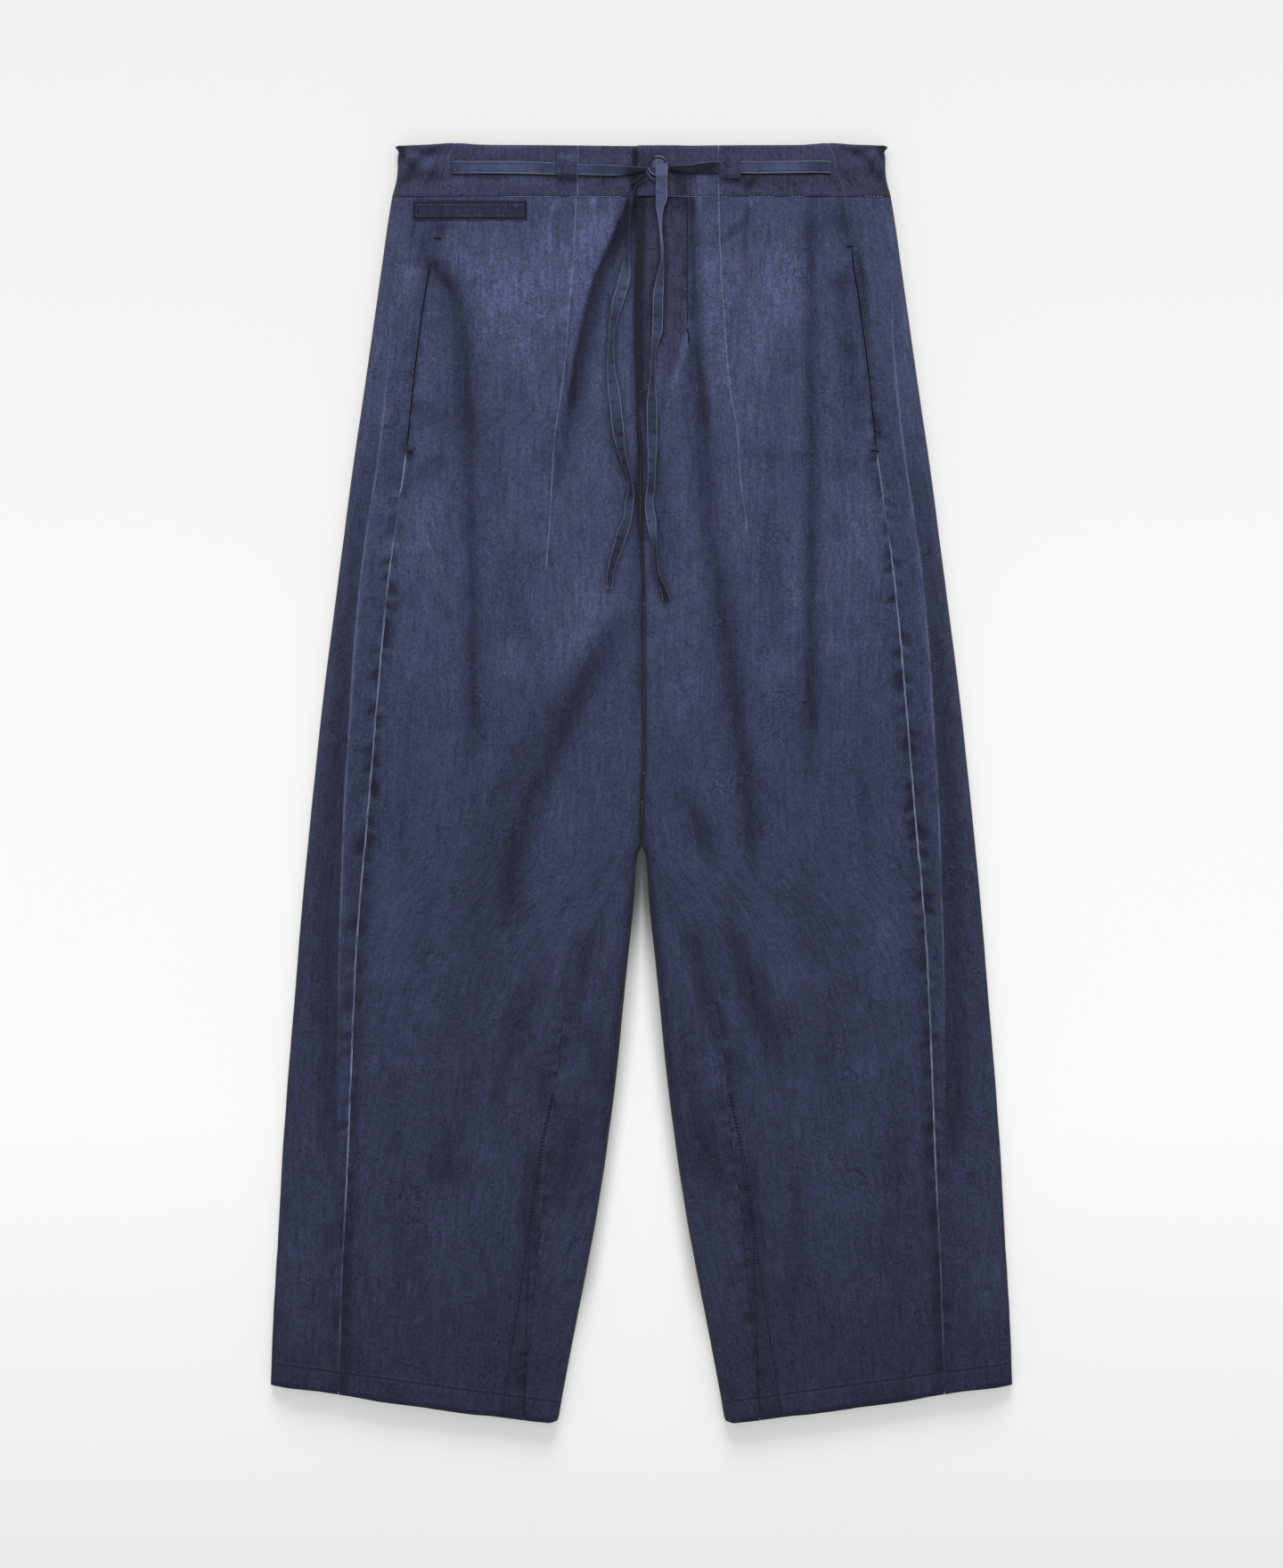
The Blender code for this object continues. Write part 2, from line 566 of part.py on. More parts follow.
def build():
    clear_scene()
    right_front = front("right_front", RIGHT)
    left_front = front("left_front", LEFT)
    back("right_back", RIGHT)
    back("left_back", LEFT)
    band_right = waistband_front("waistband_right_front", RIGHT)
    band_left = waistband_front("waistband_left_front", LEFT)
    waistband_back("waistband_back")
    coin_pocket_welt("coin_pocket_welt")
    strip_on_band("waist_tape_right", TAPE_RIGHT, INDIGO_TAPE)
    strip_on_band("waist_tape_left", TAPE_LEFT, INDIGO_TAPE)
    belt_loop("belt_loop_right", LOOP_X[0])
    belt_loop("belt_loop_left", LOOP_X[1])
    knot_and_button()
    on = [right_front, left_front, band_right, band_left]
    with_button = on + [bpy.data.objects["button"]]
    hanging_end("drawstring_front_end", FRONT_END, surface_finder(with_button))
    hanging_end("drawstring_back_end", BACK_END, surface_finder(on))


build()
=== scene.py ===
"""Looks of the barrel-leg joggers: garment-dyed indigo twill, laid flat and seen from straight above.

Sizes are millimetres here and metres in the meshes. The centre line is x = 0, the waist lies
towards +y and the hems towards -y. The wearer's right is at -x.
"""
import json
import math

import bpy
import numpy as np
from mathutils import Vector
from mathutils.bvhtree import BVHTree
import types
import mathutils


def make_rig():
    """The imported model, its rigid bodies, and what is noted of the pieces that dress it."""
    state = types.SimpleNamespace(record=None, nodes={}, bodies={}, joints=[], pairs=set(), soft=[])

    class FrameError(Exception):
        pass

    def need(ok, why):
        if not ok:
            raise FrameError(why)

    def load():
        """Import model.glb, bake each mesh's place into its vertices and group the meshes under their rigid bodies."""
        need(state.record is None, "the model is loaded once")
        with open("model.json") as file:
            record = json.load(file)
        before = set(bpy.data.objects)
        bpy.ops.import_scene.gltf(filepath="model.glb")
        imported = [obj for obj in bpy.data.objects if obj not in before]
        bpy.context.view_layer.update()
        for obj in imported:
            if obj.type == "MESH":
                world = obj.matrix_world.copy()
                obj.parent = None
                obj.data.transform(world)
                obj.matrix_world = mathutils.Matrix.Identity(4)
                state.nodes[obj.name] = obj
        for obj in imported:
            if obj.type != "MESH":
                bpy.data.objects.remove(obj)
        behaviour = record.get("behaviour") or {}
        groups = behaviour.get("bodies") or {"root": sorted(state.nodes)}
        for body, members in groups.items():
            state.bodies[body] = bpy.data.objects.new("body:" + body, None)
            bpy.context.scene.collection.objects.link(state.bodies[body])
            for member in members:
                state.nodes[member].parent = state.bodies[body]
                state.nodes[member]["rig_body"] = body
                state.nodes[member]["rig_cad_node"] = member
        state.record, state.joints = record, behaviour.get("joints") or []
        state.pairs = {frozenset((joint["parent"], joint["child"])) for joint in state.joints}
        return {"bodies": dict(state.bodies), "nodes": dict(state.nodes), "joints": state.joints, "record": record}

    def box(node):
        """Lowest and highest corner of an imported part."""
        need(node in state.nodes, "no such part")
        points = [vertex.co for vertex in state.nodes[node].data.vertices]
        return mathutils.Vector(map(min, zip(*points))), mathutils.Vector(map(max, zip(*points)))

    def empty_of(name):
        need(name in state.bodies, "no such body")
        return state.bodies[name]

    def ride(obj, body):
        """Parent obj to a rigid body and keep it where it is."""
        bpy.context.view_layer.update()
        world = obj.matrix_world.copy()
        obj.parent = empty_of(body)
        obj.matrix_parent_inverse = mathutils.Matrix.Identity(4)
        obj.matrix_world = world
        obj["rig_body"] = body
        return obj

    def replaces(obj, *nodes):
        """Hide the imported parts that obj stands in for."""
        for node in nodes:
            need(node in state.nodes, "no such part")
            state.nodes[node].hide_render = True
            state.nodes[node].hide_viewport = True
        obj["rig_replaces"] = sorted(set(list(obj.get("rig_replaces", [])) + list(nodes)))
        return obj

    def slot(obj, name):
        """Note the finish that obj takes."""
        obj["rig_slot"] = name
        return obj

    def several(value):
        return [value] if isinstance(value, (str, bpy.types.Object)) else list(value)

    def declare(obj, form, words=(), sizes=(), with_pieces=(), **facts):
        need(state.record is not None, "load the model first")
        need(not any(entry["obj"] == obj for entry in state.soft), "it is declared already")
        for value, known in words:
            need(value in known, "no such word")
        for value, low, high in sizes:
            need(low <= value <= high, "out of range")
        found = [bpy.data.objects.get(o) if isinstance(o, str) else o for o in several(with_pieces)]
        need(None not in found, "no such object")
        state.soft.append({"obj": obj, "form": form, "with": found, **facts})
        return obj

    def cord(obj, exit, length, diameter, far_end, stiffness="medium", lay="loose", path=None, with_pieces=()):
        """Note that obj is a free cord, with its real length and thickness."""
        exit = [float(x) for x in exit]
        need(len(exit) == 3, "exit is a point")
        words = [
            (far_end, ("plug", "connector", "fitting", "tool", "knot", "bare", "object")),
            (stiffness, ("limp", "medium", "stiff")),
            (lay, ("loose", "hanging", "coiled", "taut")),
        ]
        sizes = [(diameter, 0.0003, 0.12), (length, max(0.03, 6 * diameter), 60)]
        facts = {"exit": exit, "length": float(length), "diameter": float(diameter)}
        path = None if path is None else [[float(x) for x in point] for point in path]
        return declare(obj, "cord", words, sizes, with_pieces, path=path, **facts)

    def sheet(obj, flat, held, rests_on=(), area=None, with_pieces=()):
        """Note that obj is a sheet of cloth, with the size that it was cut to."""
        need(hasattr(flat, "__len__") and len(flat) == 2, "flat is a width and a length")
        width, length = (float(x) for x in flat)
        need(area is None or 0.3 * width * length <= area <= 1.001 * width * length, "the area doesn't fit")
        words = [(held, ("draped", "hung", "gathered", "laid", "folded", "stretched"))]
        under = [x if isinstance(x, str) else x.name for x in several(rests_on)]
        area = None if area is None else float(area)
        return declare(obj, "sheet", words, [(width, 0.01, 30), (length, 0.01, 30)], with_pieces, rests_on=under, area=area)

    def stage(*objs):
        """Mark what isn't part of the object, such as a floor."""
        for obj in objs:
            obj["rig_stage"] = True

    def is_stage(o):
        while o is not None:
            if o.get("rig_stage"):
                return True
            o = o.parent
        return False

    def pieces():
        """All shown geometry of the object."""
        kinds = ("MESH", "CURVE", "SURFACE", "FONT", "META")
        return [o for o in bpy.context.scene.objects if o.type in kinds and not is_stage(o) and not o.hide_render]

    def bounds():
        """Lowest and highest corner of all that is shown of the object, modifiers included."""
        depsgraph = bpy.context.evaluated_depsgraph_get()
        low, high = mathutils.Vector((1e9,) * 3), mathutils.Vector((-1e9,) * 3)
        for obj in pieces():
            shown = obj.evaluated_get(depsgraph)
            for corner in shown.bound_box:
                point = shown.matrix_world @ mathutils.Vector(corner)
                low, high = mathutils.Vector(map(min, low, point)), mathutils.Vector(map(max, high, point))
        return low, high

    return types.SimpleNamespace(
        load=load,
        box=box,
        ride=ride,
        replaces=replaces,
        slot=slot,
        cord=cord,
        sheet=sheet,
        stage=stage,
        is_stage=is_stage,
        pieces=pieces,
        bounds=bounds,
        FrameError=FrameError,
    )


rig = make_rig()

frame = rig.load()
cad_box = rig.bounds()

MM = 0.001
RIGHT, LEFT = -1, 1
NONE_NEAR = 99.0         # a distance, in millimetres, that means there is no such line on a piece

# Cloth
TWILL = 1.0              # wall of the legs' twill
BAND_TWILL = 2.2         # wall of the waistband, which is two layers
TAPE = 0.9
SEAM_GAP = 0.3
INSEAM_GAP = 0.06        # half the gap at the inseam, which the sewing draws shut
SEAM_AT_EDGE = 0.006     # where on the ring a front begins when its inseam is at the inner edge
EDGE_RISE = 4.5          # height of the folded outer and inner edges above the floor
UNDER_TURN = 7.0         # width of the curve below the outer edge
INNER_TURN = 8.0         # width of the curve over an inner edge
TOUCHING_TURN = 4.6      # width of that curve where the two legs touch
TOUCHING_INNER_X = 0.02
NOTCH_Y = -104.0
# Half the gap between the legs at heights y, from where they part
NOTCH = (
    (-50, 0.02), (-53, 1.2), (-56, 2.6), (-60, 3.5), (-66, 4.1), (-72, 4.5), (-82, 5.2), (-92, 5.9),
    (-104, 6.8),
)
# How far the line where the legs touch lies from x = 0 at heights y
CENTRE_DRIFT = (
    (300, 0), (275, -1), (210, -1.1), (196, 0.2), (178, 1.1), (150, 1.7), (60, 1.8), (40, 2.2), (16, 2.2),
    (0, 1.1), (-16, 0.4), (-60, 0),
)

# Heights along the garment
BAND_TOP_Y = 517.0
BAND_SEAM_Y = 475.0
LAP_END_Y = 285.0
CROTCH_DIP_Y = 235.0
CROTCH_Y = 133.0
HEM_Y = -517.0
HEM_SLOPE_Y = -150.0
HEM_TILT = 0.135
HEM_INNER_X = 67.0
HEM_DEPTH = 17.2         # from the hem's edge up to its stitching
# How far below its straight line the hem's edge lies, by distance from the centre line
HEM_SAG = (
    (60, 1.1), (80, 1.2), (90, 1.6), (118, 1.6), (137, 2.4), (166, 2.5), (176, 2.2), (205, 2.3),
    (224, 1.7), (234, 1.2), (252, 0.8), (262, 0.6), (281, 1.3), (291, 1.5), (301, 1.5),
)

# Fly and waistband overlap
LAP_OVER = 3.5
LAP_UNDER = 14.0
LAP_SLACK = 0.5
LAP_FLAT_X = 24.0
LAP_FADE_X = 44.0
FLY_STITCH_X = 37.1
FLY_STITCH_END_Y = 362.0

# Rows down a leg, as in the solids: the folded outer edge, the side seam, the inner edge, the
# inseam, the height of the front and the width of the strip that turns down to the outer edge.
# The soft outer edge bulges up to 1.7 mm further out than the solid's
LEG_COLUMNS = ("y", "outer", "side_seam", "inner", "inseam", "loft", "turn")
LEG_ROWS = (
    (520, 197.6, 149.2, 0.15, 0.15, 12.5, 13),
    (500, 197.8, 158.6, 0.15, 0.15, 13, 13),
    (475, 202.4, 164.2, 0.15, 0.15, 13.5, 13),
    (420, 210.5, 171.7, 0.15, 0.15, 14.5, 15),
    (360, 219, 180.4, 0.15, 0.15, 15, 17),
    (299, 227.8, 187.2, 0.15, 0.15, 15.5, 19),
    (266, 232.7, 190.6, 0.15, 0.15, 15.5, 20),
    (198, 241.7, 200.3, 0.15, 0.15, 15.5, 21),
    (130, 250.5, 208.2, 0.35, 0.35, 15.5, 22),
    (72, 257.8, 213.3, 0.35, 0.35, 15.5, 23),
    (14, 264.1, 218.2, 0.35, 0.35, 15.5, 25),
    (-50, 270.6, 223.5, 0.6, 3, 15.5, 28),
    (-104, 275.7, 228.4, 6.8, 32, 15.5, 31),
    (-180, 281.8, 232.8, 14.8, 60, 15.5, 34),
    (-230, 285.8, 234.7, 19.8, 67.8, 15, 34),
    (-281, 289.2, 236.6, 26.3, 72, 15, 34),
    (-331, 292.1, 238.4, 33.6, 78.6, 14.5, 34),
    (-382, 294.4, 240.9, 42.6, 83.6, 14, 34),
    (-432, 297.1, 242.8, 52.2, 88, 13.5, 34),
    (-482, 299.5, 244.2, 61.6, 92.8, 12.5, 34),
    (-520, 300.8, 245.2, 68.4, 96, 12, 34),
)

# Folds: name, depth, half width, how much painted shade darkens the cloth in it, places (x, y)
# from the waist down. A pair of half widths is for its left and its right side. A negative depth
# is a ridge, and a negative shade is painted light.
# The large folds are in the solids too. Each FADE is how softly folds end, in millimetres
LARGE_FOLDS = (
    ("hip trough, right", 4.4, 13, 0.1,
     ((-176, 423), (-158, 410), (-147, 382), (-141, 346), (-136, 302), (-135, 130), (-134, 0))),
    ("hip trough, left", 3.8, 12, 0.06, ((136, 461), (139, 346), (141, 274), (136, 130), (136, 0))),
    ("waist drag", 5, 12, 0.06, ((-10, 464), (-21, 439), (-43, 382), (-57, 310), (-73, 245))),
    ("waist drag ridge", -1.8, 15, -0.05, ((-34, 462), (-62, 380), (-84, 280))),
    ("thigh dimple, right", 2.6, 13, 0.16, ((-111, 187), (-106, 144), (-93, 112))),
    ("thigh dimple, left", 2.6, 13, 0.14, ((101, 202), (105, 158), (108, 114))),
    ("crotch drag, right", 5, 18, 0.12,
     ((-10, 130), (-28, 104), (-75, 36), (-97, 7), (-115, -36), (-123, -86), (-136, -137), (-145, -230))),
    ("thigh trough, left", 4.2, 13, 0.16,
     ((44, 360), (47, 295), (54, 230), (69, 130), (81, 22), (90, -43), (94, -86))),
    ("inner thigh drag, left", 2.4, 10, 0.12, ((36, -4), (47, -36), (67, -78))),
    ("knee drag, right", 3.6, 12, 0.09, ((-37, -112), (-57, -173), (-66, -205), (-84, -256))),
    ("knee drag, left", 3.6, 12, 0.08, ((31, -104), (44, -137), (64, -202), (78, -256))),
    ("outer knee drag, left", 3, 11, 0.22, ((69, -115), (80, -144), (101, -202), (111, -229))),
    ("calf trough, right", 1.8, 18, 0.08, ((-158, -260), (-158, -310), (-152, -370))),
    ("calf trough, left", 1.8, 20, 0.08, ((142, -120), (150, -200), (160, -300))),
)
LARGE_FADE = 45.0
FINE_FOLDS = (
    ("waist drag edge", 0.6, (1.6, 12), 0.54,
     ((-6, 485), (-13, 464), (-21, 446), (-31, 424), (-42, 395), (-52, 350), (-59, 305))),
    ("pocket corner drag", 1.2, (3, 4), 0.12, ((-178, 428), (-168, 416), (-157, 402), (-150, 388))),
    ("fly side shade", 0.8, (6, 2.6), 0.2, ((41, 486), (41, 400), (44, 340))),
    ("fly mouth drag", -0.9, (3, 4), -0.34, ((39, 372), (31, 342), (24, 322))),
    ("dart crease, right", -0.8, 1.8, -0.34, ((-69, 475), (-74, 452), (-75, 436))),
    ("dart crease fork", -0.4, 1.6, -0.16, ((-76, 462), (-84, 448))),
    ("pocket bag edge", 0.5, 2, 0.22, ((-184, 458), (-186, 440), (-187, 428))),
    ("dart crease, left", 0.6, (1.4, 3), 0.2, ((86, 471), (84, 448), (83, 414))),
    ("drag beside the dart, left", 0.9, (2.5, 4.5), 0.36, ((85, 456), (75, 448), (64, 438))),
    ("welt end crease", 0.9, 4, 0.1, ((-98, 452), (-94, 420))),
    ("hip crease, right", 0.9, 6, 0.08, ((-160, 300), (-158, 210), (-160, 120))),
    ("hip crease, left", 0.9, 6, 0.08, ((165, 320), (160, 220), (158, 120))),
    ("front crease, right", 0.8, 7, 0.08, ((-116, 300), (-114, 220))),
    ("front crease, left", 0.8, 7, 0.1, ((112, 330), (106, 260), (100, 200))),
    ("thigh line, right", 1, 6, 0.07, ((-186, 60), (-190, -20), (-196, -100))),
    ("thigh line, left", 1, 6, 0.07, ((176, 80), (180, -10), (186, -110))),
    ("knee line, right", 0.9, 7, 0.1, ((-100, -170), (-112, -230), (-120, -290))),
    ("shin line, right", 0.9, 9, 0.06, ((-196, -240), (-200, -320), (-196, -400))),
    ("shin line, left", 0.9, 9, 0.06, ((206, -230), (204, -310), (200, -390))),
    ("calf line, left", 0.8, 8, 0.08, ((120, -300), (126, -350), (122, -420))),
    ("inner shin, right", 1, 7, 0.1, ((-52, -270), (-66, -330))),
    ("inner shin, left", 1, 7, 0.1, ((46, -270), (60, -320))),
)
FINE_FADE = 18.0
# Folds of no depth: bands of painted shade, only darker than the cloth around them, and bands of
# painted light, only paler
SHADE_AND_LIGHT_BANDS = (
    ("lit side of the waist drag", 0, (10, 1.6), -0.2,
     ((-14, 474), (-22, 452), (-33, 428), (-45, 390), (-53, 352))),
    ("centre band", 0, (4, 5.4), 0.46, ((-2, 470), (-2, 440), (-3, 400), (-3, 350), (-2, 300))),
    ("left of the centre line", 0, (5, 3), 0.16, ((-4, 262), (-4, 240), (-4, 200), (-3, 180))),
    ("left of the centre line, low", 0, (6, 3), 0.2, ((-2, 196), (-2, 170), (-1, 130), (-3, 60))),
    ("beside the left end, top", 0, (5, 3), 0.22, ((-15, 484), (-17, 465), (-19, 445), (-20, 425))),
    ("beside the left end, turn", 0, (7, 2), 0.2, ((-23, 290), (-20, 268), (-15, 250), (-13, 238))),
    ("beside the left end", 0, (4, 4), 0.15, ((-28, 332), (-24, 315), (-18, 285), (-13, 255))),
    ("inner knee, right", 0, (6, 6), 0.13, ((-38, -118), (-46, -150), (-52, -190))),
    ("inner knee, left", 0, (6, 6), 0.12, ((38, -120), (46, -155), (56, -195))),
    ("left pocket mouth", 0, (3, 3), 0.22, ((177, 430), (180, 412), (184, 396))),
    ("fly side", 0, (4, 4.5), 0.24, ((40, 480), (42, 440), (44, 400), (47, 360), (49, 320), (54, 280))),
    ("waist drag, low", 0, (5, 6), 0.2, ((-57, 312), (-64, 262), (-70, 240))),
    ("centre line", 0, (1.5, 1.5), 0.3,
     ((-2, 295), (-1, 255), (-1, 210), (0.2, 196), (1.5, 160), (1.8, 60), (2.2, 30), (1.1, 0), (0.4, -20),
      (0.2, -48))),
    ("hollow at the centre", 0, (3.2, 3.8), 0.5, ((-2, 285), (-1, 250), (-1, 215), (0, 196))),
    ("right of the centre line", 0, (3, 12), 0.2, ((8, 300), (14, 240), (16, 170))),
    ("hip trough, right", 0, (12, 7), 0.32,
     ((-172, 424), (-160, 412), (-151, 394), (-145, 360), (-142, 320), (-138, 270))),
    ("hip trough, right, low", 0, (6, 5), 0.2, ((-139, 262), (-138, 200), (-136, 130), (-136, 40))),
    ("hip trough, left", 0, (5, 6), 0.28, ((136, 466), (137, 400), (137, 290), (136, 130), (137, 40))),
    ("below the pocket corner, left", 0, (9, 9), 0.26, ((160, 412), (164, 380), (168, 340), (176, 300))),
    ("pocket side, left", 0, (4, 2), 0.24, ((175, 430), (180, 400), (184, 370))),
    ("crotch drag, right", 0, (9, 13), 0.25,
     ((-20, 138), (-37, 104), (-56, 60), (-76, 14), (-93, -22), (-105, -70), (-109, -110))),
    ("thigh trough, left", 0, (9, 6), 0.16,
     ((46, 345), (49, 300), (52, 230), (62, 170), (70, 120), (80, 40), (86, -10), (90, -50))),
    ("knee drag, right", 0, (8, 6), 0.14, ((-84, -160), (-100, -216))),
    ("inseam, right", 0, (13, 13), 0.1, ((-42, -190), (-60, -280), (-70, -350))),
    ("inseam, left", 0, (11, 11), 0.08, ((36, -190), (52, -260), (70, -340))),
    ("knee, left", 0, (8, 8), 0.09, ((128, -60), (134, -110))),
    ("inner knee, left", 0, (8, 8), 0.09, ((40, -10), (56, -70))),
    ("inner shin, right", 0, (7, 7), 0.1, ((-76, -226), (-80, -262))),
    ("inner shin, left", 0, (7, 7), 0.12, ((68, -216), (76, -262))),
)
TONE_FADE = 20.0
# Folds of the waistband, in the same columns: their shade is painted shade, painted light where negative
BAND_FOLDS = (
    ("corner drag, right", 1.6, (3, 4.5), 0.13, ((-163, 515), (-181, 503), (-187, 495), (-193, 483))),
    ("corner drag, left", 1.5, (4.5, 3), 0.11, ((166, 515), (182, 504), (189, 494), (194, 484))),
    ("corner ridge, right", -1, 3, -0.14, ((-190, 509), (-192, 500))),
    ("corner ridge, left", -1, 3, -0.14, ((191, 510), (193, 501))),
    ("seam pinch, right", 0.9, 2.5, 0.1, ((-166, 497), (-174, 484))),
    ("seam pinch, left", 0.9, 2.5, 0.1, ((160, 499), (170, 483))),
    ("front pinch, right", 0.8, 4, 0.12, ((-30, 488), (-40, 477))),
    ("front pinch, left", 0.8, 3, 0.12, ((92, 490), (84, 478))),
    ("below the loop, left", 0, (9, 12), 0.12, ((84, 496), (86, 486), (85, 476))),
    ("beside the button, left", 0, (7, 5), 0.24, ((30, 493), (32, 486), (34, 476))),
    ("overlap's end", 0.4, (1.2, 1.8), 0.44, ((-5.6, 518), (-5.2, 508), (-5.6, 500))),
    ("corner's dark tip, right", 0, (5, 4), 0.4, ((-194, 517), (-193, 505))),
    ("corner's dark tip, left", 0, (4, 5), 0.4, ((194, 517), (193, 505))),
    ("beside the button, right", 0, (6, 7), 0.22, ((-2, 512), (-3, 480))),
    ("below the tape, left", 0, (4, 14), -0.34, ((46, 496), (46, 474))),
)
BAND_FADE = 6.0
# Creases of the underside, in the same columns: their shade is painted shade
UNDER_FOLDS = (
    ("seat crease, right", 1.6, 11, 0.1, ((-60, 440), (-96, 360), (-120, 260))),
    ("seat crease, left", 1.5, 12, 0.1, ((52, 430), (92, 330), (110, 230))),
    ("back thigh, right", 1.8, 14, 0.12, ((-40, 90), (-96, -20), (-120, -150), (-130, -260))),
    ("back thigh, left", 1.7, 15, 0.12, ((38, 70), (84, -40), (112, -160), (126, -290))),
    ("back knee, right", 1.4, 10, 0.08, ((-190, -40), (-186, -160), (-176, -260))),
    ("back knee, left", 1.3, 11, 0.08, ((196, 20), (188, -110), (180, -230))),
    ("back calf, right", 1.2, 12, 0.08, ((-112, -300), (-128, -380), (-134, -450))),
    ("back calf, left", 1.3, 11, 0.08, ((110, -320), (124, -390), (138, -450))),
)
LEAST_LOFT = 9.5

# Lighter and darker places, partly wash fading and partly painted light and painted shade: x, y,
# half width, half height, how much lighter
PATCHES = (
    (-107, 400, 34, 38, 0.26), (-57, 417, 24, 34, 0.16), (-37, 446, 14, 22, 0.18),
    (115, 400, 30, 38, 0.22), (66, 330, 20, 46, 0.12), (62, 420, 16, 30, 0.12), (-39, 140, 26, 34, 0.2),
    (-60, 104, 22, 20, 0.14), (-104, 97, 12, 12, 0.14), (108, 97, 12, 12, 0.14),
    (-187, 209, 20, 30, 0.15), (184, 209, 20, 30, 0.15), (-201, -118, 14, 44, 0.14),
    (195, -122, 14, 44, 0.14), (122, -155, 14, 22, 0.1), (-53, -230, 10, 14, 0.13),
    (58, -230, 10, 14, 0.13), (158, -281, 26, 52, 0.1), (-158, -360, 18, 30, 0.08),
    (-281, -410, 12, 46, 0.12), (281, -390, 12, 54, 0.12), (76, -20, 20, 60, 0.07),
    (-60, -40, 22, 60, 0.07), (-190, 413, 8, 22, 0.26), (-148, 420, 10, 8, 0.2), (-94, 350, 10, 15, 0.2),
    (-71, 306, 7, 32, 0.14), (-161, 236, 12, 13, 0.12), (-160, 168, 13, 36, 0.1), (93, 355, 10, 24, 0.2),
    (69, 392, 8, 11, 0.14), (53, 372, 6, 40, 0.16), (124, 160, 8, 50, 0.14), (158, 176, 10, 44, 0.1),
    (74, 210, 10, 26, 0.14), (34, 68, 14, 40, 0.09), (43, 2, 13, 13, 0.1), (100, -60, 7, 26, 0.08),
    (-144, -150, 14, 46, 0.1), (-124, 6, 8, 30, 0.1), (-77, -196, 8, 20, 0.1), (72, -192, 8, 24, 0.12),
    (214, 366, 5, 32, 0.12), (-214, 366, 5, 30, 0.1), (-202, 246, 12, 28, -0.16),
    (206, 248, 12, 26, -0.16), (-143, -254, 12, 26, -0.12), (118, -430, 12, 28, -0.12),
    (-184, -418, 14, 28, -0.07), (120, 236, 8, 36, -0.08), (-39, 472, 1.8, 5, 0.45),
    (46.5, 474, 1.8, 8, 0.4), (-63, 444, 9, 4, -0.16), (-51, 470, 4, 5, 0.2), (88, 471, 2, 5, 0.3),
    (-168, 259, 14, 9, -0.16), (169, 259, 12, 9, -0.16), (-194, 151, 12, 9, -0.1),
    (194, 151, 12, 9, -0.1), (-158, -313, 12, 9, -0.1), (-252, -364, 10, 9, -0.08),
    (-90, -345, 10, 50, -0.1), (90, -345, 10, 50, -0.1), (153, 455, 14, 14, -0.18),
    (-160, 449, 9, 7, -0.14), (37, 386, 4, 16, 0.14), (163, 405, 9, 9, -0.14), (-165, 300, 12, 10, -0.1),
    (-72, 462, 12, 5, -0.14), (12, 332, 6, 22, 0.26), (12, 296, 6, 22, 0.28), (-40, 328, 11, 20, 0.14),
    (-70, 388, 4, 7, -0.2), (-72, 340, 4, 6, -0.16), (-71, 290, 5, 7, -0.16), (-70, 256, 4, 8, -0.16),
    (73, 381, 5, 5, -0.22), (74, 335, 4, 7, -0.12), (72, 289, 4, 7, -0.16), (63, 412, 5, 7, -0.14),
    (165, 352, 9, 9, -0.12), (157, 409, 10, 5, -0.1), (172, 290, 7, 14, -0.1), (-135, 350, 6, 40, -0.05),
    (-181, 451, 6, 4, -0.12), (-162, 451, 9, 4, -0.14), (-177, 438, 4, 6, -0.14),
    (-125, 451.5, 30, 3, -0.06), (-88, 463, 4, 8, -0.12), (-138, 473, 44, 1.6, -0.12),
    (-115, 454, 20, 1.6, 0.16), (-160, 454, 20, 1.6, 0.16), (-175, 300, 8, 9, -0.12),
    (-176, 248, 12, 9, -0.12), (-182, 388, 4, 8, -0.14), (-168, 370, 5, 9, -0.12), (200, 232, 8, 14, 0.1),
    (-202, 232, 8, 18, 0.1), (-45, 465, 14, 5, -0.1), (30, 470, 10, 8, -0.14), (11, 338, 5, 18, 0.12),
    (143, 262, 5, 18, -0.1), (22, 150, 8, 9, -0.12), (55, 140, 12, 9, -0.12), (137, 20, 7, 14, -0.12),
    (30, -10, 6, 12, -0.1), (-40, 112, 9, 9, 0.14), (165, 452, 7, 16, -0.16), (200, 452, 6, 10, 0.08),
)
# How pale the cloth is down the garment, darker towards the hems, from raw indigo at 0 to the
# palest at 1
TONE_DOWN_THE_GARMENT = (
    (520, 0.5), (480, 0.5), (455, 0.57), (300, 0.57), (150, 0.52), (30, 0.4), (-90, 0.34), (-230, 0.285),
    (-380, 0.225), (-480, 0.145), (-520, 0.1),
)

# The darts and the pressed crease beside the side seams: x, y from the waist down
DART_RIGHT = (
    (-52.9, 475), (-54.4, 437), (-58.7, 384), (-64.4, 319), (-70.2, 281), (-73.8, 218), (-77.4, 173),
)
DART_LEFT = (
    (62.3, 475), (64.2, 417), (66.6, 384), (71.6, 319), (77.4, 286), (79.6, 253), (83.2, 223),
    (86.8, 194),
)
PRESSED_CREASE = (
    (202.7, 360), (212, 269), (221.4, 206), (229.3, 138), (235.1, 59), (242.2, -86), (244.4, -180),
    (245, -300),
)
